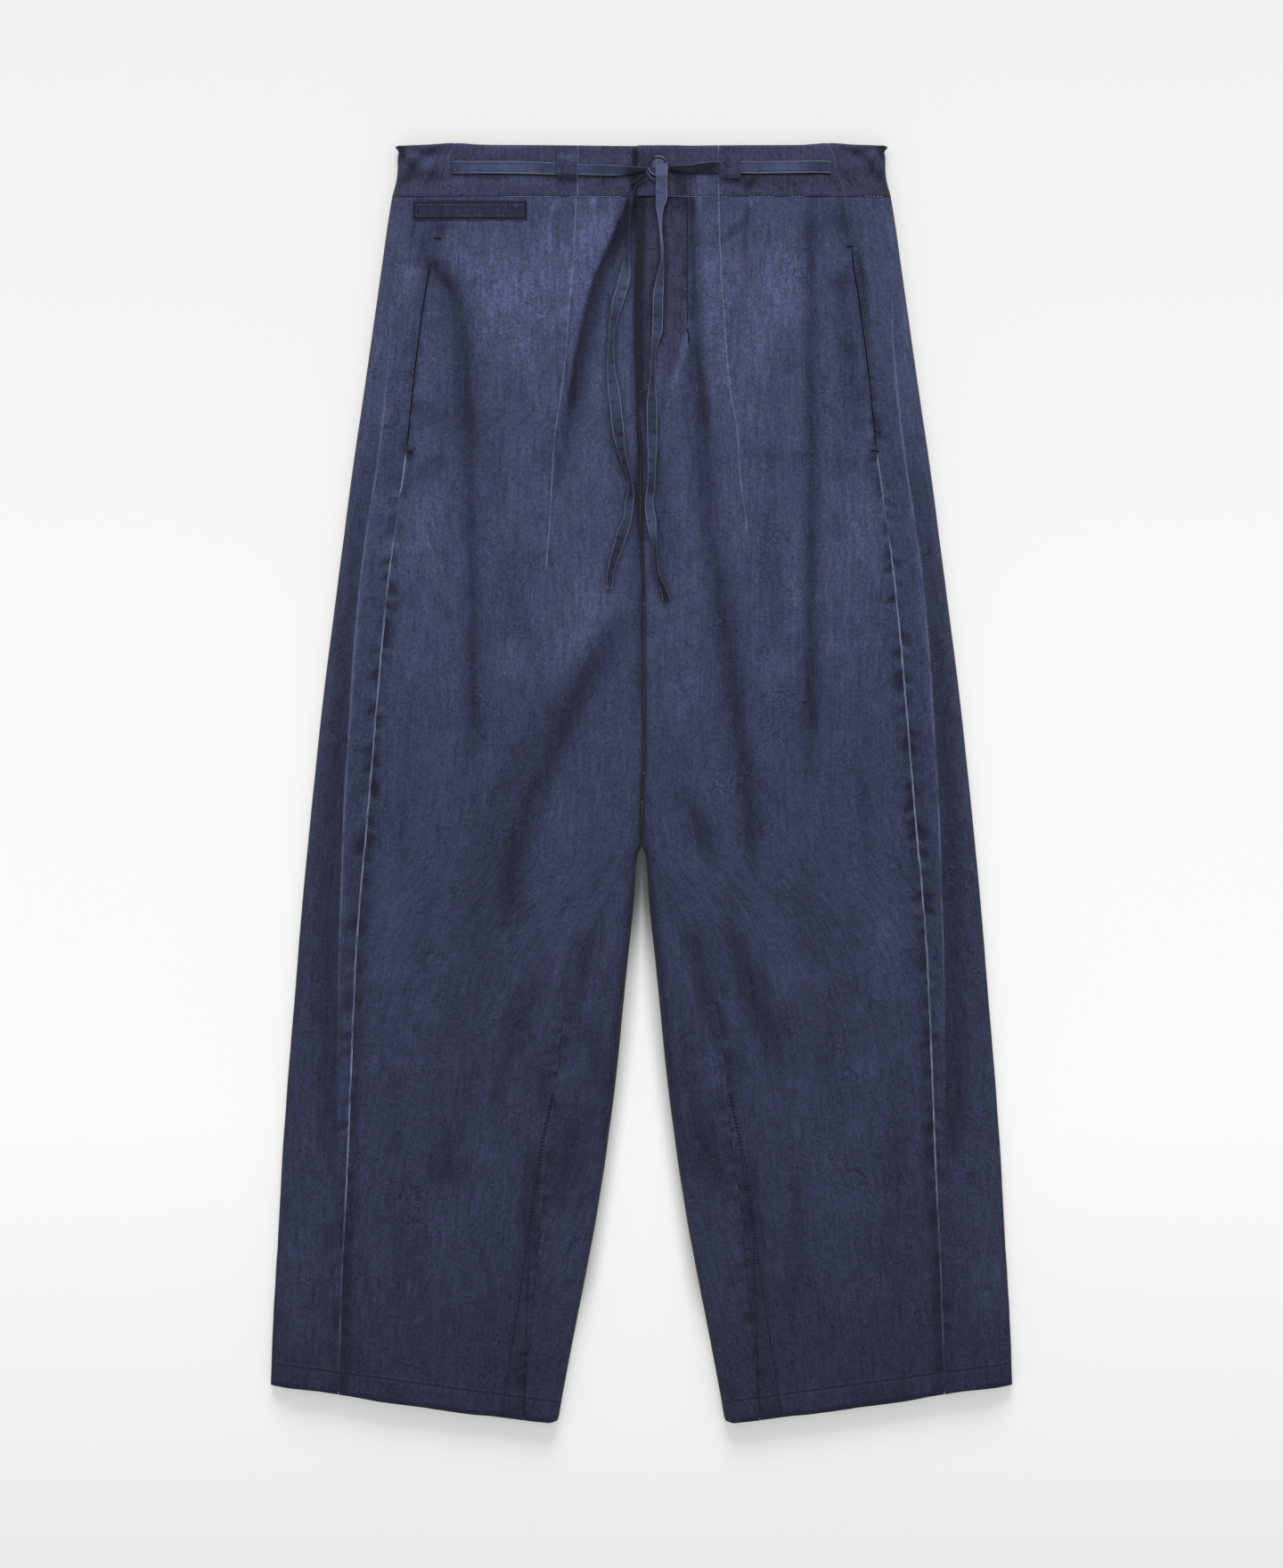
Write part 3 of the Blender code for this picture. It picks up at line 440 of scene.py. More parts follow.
# How much the side seam's raised edge is worn pale at heights y
SEAM_WEAR = (
    (520, 0.1), (475, 0.2), (440, 0.16), (420, 0.08), (268, 0.1), (262, 1.3), (238, 1.2), (226, 0.4),
    (198, 0.36), (188, 1.1), (140, 1), (120, 1.6), (100, 1.5), (80, 1.1), (20, 0.85), (0, 1.2),
    (-40, 1.3), (-80, 1.7), (-100, 0.8), (-120, 1.15), (-145, 1), (-165, 0.7), (-205, 0.7), (-220, 1.4),
    (-240, 1.3), (-262, 0.8), (-280, 1.6), (-300, 1.1), (-365, 0.8), (-380, 0.25), (-410, 0.34),
    (-460, 0.5), (-478, 0.2), (-500, 0.1), (-520, 0.05),
)
# Each leg's dart and the height where it ends, and where the darts cross the waistband
DARTS = {RIGHT: (DART_RIGHT, 172.0), LEFT: (DART_LEFT, 196.0)}
DARTS_ON_BAND = {RIGHT: -51.5, LEFT: 62.3}
POCKET_RIGHT = (270.0, 420.5)        # lower and upper end of the pocket mouth
POCKET_LEFT = (269.3, 434.9)

# Waist tape, as in the solids: x, y, width, how pale it is and how pale its lower selvedge is
TAPE_RIGHT = (
    (-153, 498.8, 9.6, 0.34, 0.3), (-136, 498.7, 9.6, 0.44, 0.5), (-115, 498.6, 9.6, 0.58, 0.9),
    (-86, 498.2, 9.6, 0.44, 1), (-51, 497.2, 8.4, 0.36, 0.9), (-24, 496.6, 8.2, 0.28, 0.8),
    (-14, 496.2, 7, 0.08, 0.1), (-5, 496, 4.6, 0, 0), (4.2, 495.9, 3, 0, 0),
)
TAPE_LEFT = (
    (153.6, 498.9, 9.4, 0.3, 0.8), (132, 498.8, 9.4, 0.4, 0.9), (110, 498.8, 9.4, 0.56, 0.9),
    (88, 498.8, 9.4, 0.46, 0.8), (66, 499, 9, 0.22, 0.3), (52, 498.8, 8.2, 0.02, 0), (42, 498, 6.6, 0, 0),
    (30, 497.4, 4.6, 0, 0), (22.4, 497.2, 3.4, 0, 0),
)
# A small bit of the tape folded out below the button: x, y, width
KNOT_FOLD = ((5.0, 494.6, 1.8), (6.4, 491.4, 2.0), (8.6, 489.0, 2.0), (11.4, 488.0, 1.6))
# Loops, welt, button and knot, as in the solids
LOOP_WIDTH = 17.0
LOOP_TOP_Y = 515.0
LOOP_FOOT_Y = 489.6
# Name, middle and how pale the fold at its top is
LOOPS = (("loop_right", -60.0, 0.8), ("loop_left", 71.5, 0.1))
WELT_X = (-184.6, -92.6)
WELT_Y = (456.4, 471.0)
BUTTON_X = 13.5
BUTTON_Y = 498.4
BUTTON_RADIUS = 8.5
BUTTON_THICK = 2.8
KNOT_RADIUS = 5.4
KNOT_SIDES = 36
KNOT_LUMPS = 0.12
# Section of the knot and of the button: share of the radius, height
KNOT_PROFILE = ((0.05, 0), (0.86, 0.1), (1, 0.9), (1, 1.7), (0.82, 2.4), (0.5, 2.6), (0.05, 2.6))
BUTTON_PROFILE = [(share, part * BUTTON_THICK) for share, part in (
    (0.10, 0), (0.88, 0), (0.96, 0.12), (1, 0.4), (1, 0.7), (0.985, 0.88), (0.95, 1), (0.90, 1),
    (0.86, 0.93), (0.82, 0.72), (0.78, 0.62), (0.72, 0.66), (0.55, 0.80), (0.30, 0.88), (0.05, 0.90))]

# What each piece replaces in the solids, and its slot
NODES = {
    "front_leg_right": ("right_front", "twill"),
    "front_leg_left": ("left_front", "twill"),
    "back_leg_right": ("right_back", "twill"),
    "back_leg_left": ("left_back", "twill"),
    "band_front_right": ("waistband_right_front", "twill"),
    "band_front_left": ("waistband_left_front", "twill"),
    "band_back": ("waistband_back", "twill"),
    "welt_of_coin_pocket": ("coin_pocket_welt", "dark_twill"),
    "tape_right": ("waist_tape_right", "tape"),
    "tape_left": ("waist_tape_left", "tape"),
    "loop_right": ("belt_loop_right", "twill"),
    "loop_left": ("belt_loop_left", "twill"),
    "knot_of_tape": ("drawstring_knot", "tape"),
    "pressed_button": ("button", "button"),
    "front_end_of_drawstring": ("drawstring_front_end", "tape"),
    "back_end_of_drawstring": ("drawstring_back_end", "tape"),
}

# Hanging ends of the drawstring, from the knot down: x, y, width
FRONT_END = (
    (15.5, 501, 9.4), (16.2, 489, 9.4), (16.2, 475.5, 9.2), (14.8, 465, 6.2), (15.2, 452, 3),
    (16, 440, 2.2), (16.8, 427, 2.2), (15.6, 412, 5), (13.3, 390, 8), (13, 370, 8), (11, 357, 5.6),
    (9.4, 344, 3.6), (9, 330, 3.8), (8.5, 316, 6.6), (8.5, 302, 8), (8.6, 278, 7.6), (8.3, 256, 6.4),
    (7.8, 240, 6), (6.2, 227, 6.4), (7.7, 215, 7.6), (8.8, 205, 6.2), (10, 197, 4.4), (10.8, 188, 3.4),
    (11.8, 178, 3.2), (13.4, 168, 3.4), (16.8, 160, 4.4), (19.4, 152, 5.6), (20.2, 148.5, 6.2),
)
BACK_END = (
    (5.6, 492.2, 4.6), (-1.6, 487.6, 4.8), (-7.6, 481, 3.6), (-8.6, 470, 2.4), (-9.8, 457, 2),
    (-10.4, 438, 2.2), (-12.2, 420, 5.6), (-14.4, 406, 9), (-17.8, 394, 9), (-21.4, 380, 6.6),
    (-24.2, 360, 4.6), (-24.8, 342, 5.6), (-23.6, 326, 7.6), (-21.6, 311, 9.2), (-19.4, 291, 9.2),
    (-17.2, 275, 7.2), (-13.8, 260, 4.8), (-10, 247, 3.6), (-8.6, 238, 4), (-10, 227, 7),
    (-11.2, 215, 6.6), (-14.4, 206, 8.4), (-18.4, 193, 7.6), (-21.8, 183, 6.8), (-24, 175, 5.8),
    (-25.4, 167, 5.2), (-26, 157.5, 4.8),
)
TAPE_WIDTH = 9.4
TAPE_Y = 498.0
TAPE_PITCH = 1.2
# How pale they are at heights y
FRONT_TONES = (
    (501, 0.74), (470, 0.66), (450, 0.86), (430, 0.76), (412, 0.34), (385, 0.3), (350, 0.3), (300, 0.26),
    (260, 0.3), (240, 0.1), (230, 0.44), (206, 0.44), (190, 0.2), (168, 0.12), (158, 0), (148.5, 0),
)
BACK_TONES = (
    (492.2, 0), (484, 0), (477, 0.26), (440, 0.2), (415, 0.46), (395, 0.34), (350, 0.28), (310, 0.4),
    (296, 0.32), (282, 0.18), (240, 0.14), (222, 0.34), (200, 0.12), (184, 0.1), (166, 0.16),
    (157.5, 0.6),
)
# How pale the selvedge at -x is at heights y
FRONT_PALE = ((501.0, 0.2), (440.0, 0.3), (430.0, 1.0), (148.5, 1.0))
BACK_PALE = ((492.2, 0.0), (482.0, 0.1), (430.0, 0.1), (418.0, 0.9), (157.5, 1.0))

# Visible sewing: the two rows down each inseam (the same on both legs), the row below the
# waistband, and the bars of close stitches at the ends of the pockets and of the fly
INSEAM_ROWS = (
    ((70.9, -251), (77, -278), (80, -296), (90.4, -364), (95.4, -511)),
    ((72.4, -251), (76.3, -271), (79.6, -284), (85.3, -315), (94, -382), (113, -511)),
)
WAIST_ROW_Y = 475.0
WAIST_ROWS = (
    (-110, -66), (-57, -16), (22, 70), (88, 108), (122, 132), (182, 196),
)
# Fine rows: round the sewn-down ends of the waist tape and above the welt
FINE_ROWS = (
    ((-92, 501.6), (-148.2, 501.9), (-148.8, 495.9), (-92, 495.5)),
    ((82, 502), (149.6, 502), (149.6, 495.8), (82, 495.7)),
    ((-172, 472), (-93, 472)),
)
BARTACKS = (
    ((-167.5, 441.5), (-162, 441.2)), ((-189.7, 268.6), (-184.6, 268.2)), ((166, 434.6), (171, 434.8)),
    ((185.4, 269.6), (191.4, 269)), ((37.1, 367.5), (38.2, 362)), ((38.2, 362), (38, 357.5)),
)

# Mesh fineness, in millimetres between points
ROW_PITCH = 2.6
COLUMN_PITCH = 2.1
UNDER_PITCH = 6.0
BAND_PITCH = 1.6


# Curves and noise

def smoothstep(low, high, value):
    t = np.clip((value - low) / (high - low), 0.0, 1.0)
    return t * t * (3.0 - 2.0 * t)


def bell(distance, width):
    return np.exp(-(distance / width) ** 2)


def monotone(places, values, at):
    """Smooth curve through (place, value) that never passes the values on either side."""
    places, values = np.asarray(places, float), np.asarray(values, float)
    if places[0] > places[-1]:
        places, values = places[::-1], values[::-1]
    step = np.diff(places)
    rise = np.diff(values) / step
    slope = np.zeros(len(places))
    slope[0], slope[-1] = rise[0], rise[-1]
    same = rise[:-1] * rise[1:] > 0.0
    total = np.where(same, rise[:-1] + rise[1:], 1.0)
    slope[1:-1] = np.where(same, 2.0 * rise[:-1] * rise[1:] / total, 0.0)
    at = np.clip(at, places[0], places[-1])
    i = np.minimum(np.searchsorted(places, at, side="right") - 1, len(step) - 1)
    t = (at - places[i]) / step[i]
    start = values[i] + t * step[i] * slope[i]
    end = values[i + 1] - (1.0 - t) * step[i] * slope[i + 1]
    blend = t * t * (3.0 - 2.0 * t)
    return start * (1.0 - blend) + end * blend


def along(table, at, key=1, value=0):
    """A column of a table of rows, read smoothly by another of its columns."""
    return monotone([row[key] for row in table], [row[value] for row in table], at)


def lattice_noise(x, y, cell_x, cell_y, seed):
    """Smooth noise from -1 to 1 with features of the given size in millimetres."""
    size = 64
    values = np.random.default_rng(seed).uniform(-1.0, 1.0, (size, size))
    u, v = x / cell_x + 1000.0, y / cell_y + 1000.0
    i, j = np.floor(u).astype(int), np.floor(v).astype(int)
    fu, fv = u - i, v - j
    fu, fv = fu * fu * (3.0 - 2.0 * fu), fv * fv * (3.0 - 2.0 * fv)
    i0, i1, j0, j1 = i % size, (i + 1) % size, j % size, (j + 1) % size
    low = values[i0, j0] * (1.0 - fu) + values[i1, j0] * fu
    high = values[i0, j1] * (1.0 - fu) + values[i1, j1] * fu
    return low * (1.0 - fv) + high * fv


def stations(start, end, pitch, edge=(0.0, 0.5, 1.2, 2.4), extra=()):
    """Places from start to end, closer together at both ends."""
    length = abs(end - start)
    even = np.linspace(edge[-1] + pitch, length - edge[-1] - pitch, max(2, int(length / pitch) - 2))
    inside = [abs(place - start) for place in extra]
    shares = np.unique(np.concatenate([edge, even, length - np.array(edge), inside]))
    return start + np.sign(end - start) * shares


# The garment's form, as in the solids

def leg(column, y):
    index = LEG_COLUMNS.index(column)
    return along(LEG_ROWS, y, 0, index)


def fold_depths(folds, fade_length, x, y, what):
    """Sum over some folds of their depth, or of the painted shade that darkens the cloth in them."""
    total = np.zeros(np.broadcast(x, y).shape)
    for _, depth, width, shade, places in folds:
        top, low = places[0][1], places[-1][1]
        middle = along(places, y)
        lean = (along(places, y + 2.0) - along(places, y - 2.0)) / 4.0
        across = (x - middle) / np.hypot(1.0, lean)
        fade = smoothstep(low - fade_length, low + fade_length, y)
        fade = fade * (1.0 - smoothstep(top - fade_length, top + fade_length, y))
        left, right = np.broadcast_to(width, 2)
        reach = np.where(across < 0.0, left, right)
        total += (depth if what == "depth" else shade) * fade * bell(across, reach)
    return total


def inner_turn(y):
    """Width of the curve over an inner edge."""
    return TOUCHING_TURN + (INNER_TURN - TOUCHING_TURN) * (1.0 - smoothstep(-140.0, -30.0, y))


def inner_edge(y):
    apart = np.where(y > NOTCH_Y, along(NOTCH, y, 0, 1), leg("inner", y))
    return np.where(y > NOTCH[0][0], TOUCHING_INNER_X, apart)


def row_tilt(y):
    return HEM_TILT * (1.0 - smoothstep(HEM_Y, HEM_SLOPE_Y, y))


def closing(y):
    """0 where the two fronts meet flat at the centre, 1 from the crotch down, where legs close."""
    return 1.0 - smoothstep(CROTCH_Y, CROTCH_DIP_Y, y)


def leg_row(x, y):
    """The row a place on the front belongs to, where the rows slant towards the hem."""
    guess = y
    for _ in range(3):
        guess = y - row_tilt(guess) * (np.abs(x) - HEM_INNER_X)
    return guess


def puckers(x, y):
    """Small cross creases that the sewing draws in on both sides of each seam."""
    row = leg_row(x, y)
    side = np.where(x < 0.0, -1.0, 1.0)
    low_leg = smoothstep(40.0, -20.0, row)
    darts = np.where(x < 0.0, -along(DART_RIGHT, row), along(DART_LEFT, row))
    fly = np.full_like(row, FLY_STITCH_X) + 900.0 * (x < 0.0)
    # where the seam lies, height, reach and spacing of its puckers, its two ends, seed
    lines = (
        (leg("side_seam", row), 1.1, 8.5, 6.0, -520.0, 330.0, 11),
        (leg("inseam", row), 0.95 * low_leg, 8.0, 5.0, -520.0, -170.0, 12),
        (darts, 0.6, 5.5, 6.0, 172.0, 470.0, 13),
        (fly, 0.5, 9.0, 7.0, 300.0, 470.0, 14),
    )
    total = np.zeros(np.broadcast(x, y).shape)
    for place, height, reach, wave, low, top, seed in lines:
        away = np.abs(x) - place
        skew = y + 0.35 * np.abs(away)
        ripple = lattice_noise(40.0 * np.sign(away) + side * 300.0, skew, 37.0, wave, seed)
        slow = lattice_noise(70.0 * np.sign(away) + side * 300.0, skew, 37.0, 4.5 * wave, seed + 90)
        ripple = ripple * smoothstep(-1.2, 0.1, slow) + 0.2 * slow
        inside = smoothstep(low - 15.0, low + 15.0, row) * (1.0 - smoothstep(top - 20.0, top + 20.0, row))
        total += height * ripple * bell(away, reach) * inside
    from_band = BAND_SEAM_Y - row
    total += 0.30 * lattice_noise(x + 0.3 * from_band, 0.0 * x, 10.0, 50.0, 15) * bell(from_band, 12.0)
    return total


def pucker_shade_and_light(x, y):
    """Painted shade in dark dabs in the hollows beside each seam, and paler dabs on the crests between
    them, painted light and wash wear.
    """
    ripple = puckers(x, y)
    calm = 1.0 - 0.6 * smoothstep(-60.0, -180.0, y)
    crests, hollows = smoothstep(0.15, 0.8, ripple), smoothstep(0.05, 0.60, -ripple)
    return calm * (CREST_PALE * crests - HOLLOW_DARK * hollows)


def soft_waves(x, y):
    broad = 0.9 * lattice_noise(x, y, 46.0, 110.0, 21)
    middle = 0.5 * lattice_noise(x + 0.2 * y, y, 19.0, 40.0, 22)
    fine = 0.24 * lattice_noise(x - 0.25 * y, y, 8.0, 17.0, 23)
    return broad + middle + fine


def relief(x, y):
    """Height that the finer creases add to the front of the legs."""
    row = leg_row(x, y)
    calm = 1.0 - smoothstep(BAND_SEAM_Y - 14.0, BAND_SEAM_Y, row)
    hem = smoothstep(HEM_Y + HEM_DEPTH + 1.2, HEM_Y + HEM_DEPTH - 1.2, row)
    groove = bell(row - HEM_Y - HEM_DEPTH, 1.3)
    fine = -fold_depths(FINE_FOLDS, FINE_FADE, x, y, "depth") + soft_waves(x, y)
    drawn = 0.5 * lattice_noise(x, row, 9.0, 40.0, 24) * bell(row - HEM_Y - HEM_DEPTH + 5.0, 12.0)
    return fine * calm + puckers(x, y) + 0.45 * hem - 0.5 * groove + drawn


def front_height(x, y):
    """Height of the front's outside above the floor away from its edges."""
    calm = 1.0 - smoothstep(BAND_SEAM_Y - 40.0, BAND_SEAM_Y, y)
    lift = -fold_depths(LARGE_FOLDS, LARGE_FADE, x, y, "depth")
    return np.maximum(leg("loft", y) + lift * calm, LEAST_LOFT)


def ring(y, u, side, creased=True):
    """Points on the outside of one leg, going round from the inner edge over the front.

    u is 0 at the inner edge, 1 to 2 over the flat front, 3 at the outer edge, 4 to 5 along the
    floor and 6 at the inner edge again. Below 0 it runs on past the centre line, over a flat fly.
    """
    y = y + 0.0 * u
    u = np.where(u > 6.0, u - 6.0, u)
    inner, outer, turn = inner_edge(y), leg("outer", y), leg("turn", y)
    start = (1.0 - closing(y)) * math.pi / 2.0
    near, far = inner + inner_turn(y), outer - turn
    part = np.clip(np.where(u < 3.0, u, 6.0 - u), 0.0, 1.0)
    angle = start + (math.pi / 2.0 - start) * part
    lean = np.cos(start)
    flat = lean < 1e-3
    width = np.where(flat, part, (lean - np.cos(angle)) / np.where(flat, 1.0, lean))
    inner_x, inner_share = inner + inner_turn(y) * width, np.sin(angle)
    over = np.clip(3.0 - u, 0.0, 1.0) * math.pi / 2.0
    under = np.clip(u - 3.0, 0.0, 1.0) * math.pi / 2.0
    zones = [u < 0.0, u < 1.0, u < 2.0, u < 3.0, u < 4.0, u < 5.0]
    x = np.select(zones, [
        inner + u * LAP_UNDER,
        inner_x,
        near + (u - 1.0) * (far - near),
        outer - turn * (1.0 - np.cos(over)),
        outer - UNDER_TURN * (1.0 - np.cos(under)),
        outer - UNDER_TURN + (u - 4.0) * (near - outer + UNDER_TURN),
    ], inner_x)
    share = np.select(zones, [1.0, inner_share, 1.0, np.sin(over), np.sin(under), 1.0], inner_share)
    world_x = side * x + along(CENTRE_DRIFT, y, 0, 1) * smoothstep(45.0, 5.0, x)
    world_y = y + row_tilt(y) * (x - HEM_INNER_X)
    on_top = u < 3.0
    if creased:
        top = front_height(world_x, world_y) + relief(world_x, world_y) * share ** 2
        floor_lift = fold_depths(UNDER_FOLDS, LARGE_FADE, world_x, world_y, "depth")
        floor_lift = floor_lift * smoothstep(3.9, 4.2, u) * (1.0 - smoothstep(4.85, 5.0, u))
        floor_lift = floor_lift * smoothstep(HEM_Y + 12.0, HEM_Y + 70.0, y)
    else:
        top, floor_lift = leg("loft", y), 0.0
    z = np.where(on_top, EDGE_RISE + (top - EDGE_RISE) * share, EDGE_RISE * (1.0 - share) + floor_lift)
    return np.stack([world_x, world_y, z], axis=-1)


def u_at_x(y, x):
    """Where on the front of the ring the distance x from the centre line falls."""
    inner, outer, turn = inner_edge(y), leg("outer", y), leg("turn", y)
    start = (1.0 - closing(y)) * math.pi / 2.0
    near, far = inner + inner_turn(y), outer - turn
    part = np.clip(x - inner, 0.0, inner_turn(y)) / inner_turn(y)
    angle = np.arccos(np.cos(start) * (1.0 - part))
    open_turn = np.maximum(math.pi / 2.0 - start, 1e-6)
    low = np.where(closing(y) > 1e-3, (angle - start) / open_turn, part)
    high = 3.0 - np.arccos(np.clip(1.0 - (outer - x) / turn, -1.0, 1.0)) * 2.0 / math.pi
    return np.where(x < near, low, np.where(x <= far, 1.0 + (x - near) / (far - near), high))


def spread(y, first, last, side, pitch_of):
    """Places u round each row, evenly spaced by length but closer at both ends.

    Gives u and the distance in millimetres from the first place, both rows by columns.
    """
    dense = first + (last - first) * np.linspace(0.0, 1.0, 700)[None, :]
    points = ring(y, dense, side, creased=False)
    steps = np.linalg.norm(np.diff(points, axis=1), axis=2)
    zero = np.zeros((len(y), 1))
    length = np.concatenate([zero, np.cumsum(steps, axis=1)], axis=1)
    effort = np.concatenate([zero, np.cumsum(steps / pitch_of(dense[:, 1:]), axis=1)], axis=1)
    count = int(effort[:, -1].max())
    edge = np.array([0.0, 0.25, 0.6, 1.2])
    shares = np.concatenate([edge / count, np.linspace(2.0, count - 2.0, count - 3) / count,
                             1.0 - edge[::-1] / count])
    u = np.empty((len(y), len(shares)))
    run = np.empty_like(u)
    for i in range(len(y)):
        at = np.interp(shares * effort[i, -1], effort[i], dense[i])
        u[i] = at
        run[i] = np.interp(at, dense[i], length[i])
    return u, run


# Cloth meshes

CUTS = {}                # each cloth piece's flat width and length, and its area
SHARP_DEGREES = 52.0
# Where pieces start on the endless cloth that the textures are drawn on
FRONT_U, BACK_U, BAND_BACK_U, LOOP_U, WELT_U = 400.0, 1200.0, 2000.0, 3000.0, 3500.0
LEG_V, BAND_V = 600.0, 700.0
BAND_SEAM_SINK = 0.45    # how far the legs dip at the waistband's seam
MOUTH_LIFT = 0.55        # how far a pocket's mouth stands up, and how far the cloth behind it sinks
MOUTH_SINK = 0.8
MOUTH_GAPE = 0.8

# Shades, as shares of the whole range of fading: the waistband's dull and faded tone, the darker
# fly, and painted shade and painted light on puckers, beside the hanging ends, along the edges and
# hem and on the underside
BAND_DULL = 0.55
BAND_FADED = 0.38
CREST_PALE = 0.12
HOLLOW_DARK = 0.26
BESIDE_END_DARK = 0.24
OUTER_DARK = 0.16
INNER_DARK = 0.14
LOW_LEG_DARK = 0.17
CALF_DARK = 0.08
HEM_DARK = 0.18
FLY_DARK = 0.24
UNDER_DARK = 0.12
# What the materials read at each point, where a piece doesn't say otherwise
# The fade attribute carries wash fading together with painted shade and painted light
USUAL_VALUES = {"fade": 0.5, "dull": 0.0, "worn": 0.0, "edge_mm": NONE_NEAR,
                "dart_mm": NONE_NEAR, "crease_mm": NONE_NEAR}


def views(points):
    """The x, y and z of some points, each as a view, so that a change to it moves the points."""
    return points[..., 0], points[..., 1], points[..., 2]


def added_object(name, data):
    made = bpy.data.objects.new(name, data)
    bpy.context.scene.collection.objects.link(made)
    return made


def wall(name, outside, thickness, upward, uv, values, material):
    """A closed wall of cloth under a grid of points, rows by columns, in millimetres.

    upward is a place in the grid whose outside faces up. values are the attributes, for each point
    or for the whole piece.
    """
    rows, columns = outside.shape[:2]
    normal = np.cross(np.gradient(outside, axis=1), np.gradient(outside, axis=0))
    normal /= np.maximum(np.linalg.norm(normal, axis=2, keepdims=True), 1e-9)
    flip = normal[upward][2] < 0.0
    if flip:
        normal = -normal
    inside = outside - normal * thickness
    points = np.concatenate([outside.reshape(-1, 3), inside.reshape(-1, 3)]) * MM
    index = np.arange(rows * columns).reshape(rows, columns)
    under = index + rows * columns
    faces = []
    for grid, order in ((index, (0, 1, 2, 3)), (under, (0, 3, 2, 1))):
        corners = (grid[:-1, :-1], grid[:-1, 1:], grid[1:, 1:], grid[1:, :-1])
        faces.append(np.stack([corners[k] for k in order], -1).reshape(-1, 4))
    rims = ((index[0], under[0], True), (index[-1], under[-1], False),
            (index[:, 0], under[:, 0], False), (index[:, -1], under[:, -1], True))
    for line, beneath, turned_over in rims:
        rim = np.stack([line[:-1], line[1:], beneath[1:], beneath[:-1]], -1)
        faces.append(rim[:, ::-1] if turned_over else rim)
    faces = np.concatenate(faces)
    if flip:
        faces = faces[:, ::-1]
    doubled = {key: np.tile(np.broadcast_to(value, (rows, columns)).ravel(), 2)
               for key, value in values.items()}
    flat_uv = np.tile(uv.reshape(-1, 2), (2, 1)) * MM
    CUTS[name] = cut_of(uv)
    return mesh_object(name, points, faces.tolist(), flat_uv, doubled, material)


def cut_of(uv):
    """Flat width, length and area of a piece in metres, from its places on the unrolled cloth."""
    across = np.abs(uv[:, -1, 0] - uv[:, 0, 0])
    width, length = across.max() * MM, (uv[..., 1].max() - uv[..., 1].min()) * MM
    a, b, c, d = uv[:-1, :-1], uv[:-1, 1:], uv[1:, 1:], uv[1:, :-1]
    doubled = (c - a)[..., 0] * (d - b)[..., 1] - (c - a)[..., 1] * (d - b)[..., 0]
    return (float(width), float(length)), float(np.abs(doubled).sum() / 2.0 * MM ** 2)


def mesh_object(name, points, faces, uv, values, material):
    mesh = bpy.data.meshes.new(name)
    mesh.from_pydata(points.tolist(), [], faces)
    layer = mesh.uv_layers.new(name="cloth")
    corners = np.empty(len(mesh.loops), dtype=np.int32)
    mesh.loops.foreach_get("vertex_index", corners)
    layer.data.foreach_set("uv", np.asarray(uv, dtype=np.float32)[corners].ravel())
    for key, usual in USUAL_VALUES.items():
        value = np.asarray(values.get(key, usual), dtype=np.float32)
        data = np.ascontiguousarray(np.broadcast_to(value, (len(points),)))
        mesh.attributes.new(key, "FLOAT", "POINT").data.foreach_set("value", data)
    mesh.materials.append(material)
    mesh.shade_smooth()
    mesh.set_sharp_from_angle(angle=math.radians(SHARP_DEGREES))
    return added_object(name, mesh)


def shadow_of_ends(x, y):
    """How much darker the cloth is close beside the two hanging ends."""
    total = 0.0
    for tape in (FRONT_END, BACK_END):
        beside = np.abs(x - along(tape, y)) - along(tape, y, 1, 2) / 2.0
        near = smoothstep(tape[-1][1] - 3.0, tape[-1][1] + 3.0, y) * smoothstep(-1.0, 0.5, beside)
        total = total + BESIDE_END_DARK * near * bell(beside - 0.5, 2.8)
    return total


def edge_shade(x, row):
    """How much darker the cloth is along the outer edge, the inner edge and the hem."""
    out = leg("outer", row) - np.abs(x)
    inside = np.abs(x) - inner_edge(row)
    thigh = smoothstep(330.0, 200.0, row) * smoothstep(-260.0, -110.0, row)
    outer = (0.03 + 0.03 * thigh) * smoothstep(34.0, 12.0, out) + OUTER_DARK * smoothstep(3.5, 0.5, out)
    low_leg = smoothstep(40.0, -60.0, row) * smoothstep(-350.0, -230.0, row)
    calf = smoothstep(-110.0, -170.0, row) * smoothstep(-360.0, -300.0, row)
    inner = LOW_LEG_DARK * smoothstep(13.0, 2.0, inside) * low_leg
    inner = inner + CALF_DARK * bell(inside - 15.0, 8.0) * calf
    inner = inner + INNER_DARK * smoothstep(3.5, 0.5, inside) * smoothstep(-50.0, -110.0, row)
    return outer + inner + HEM_DARK * smoothstep(HEM_Y + 2.2, HEM_Y + 0.4, row)


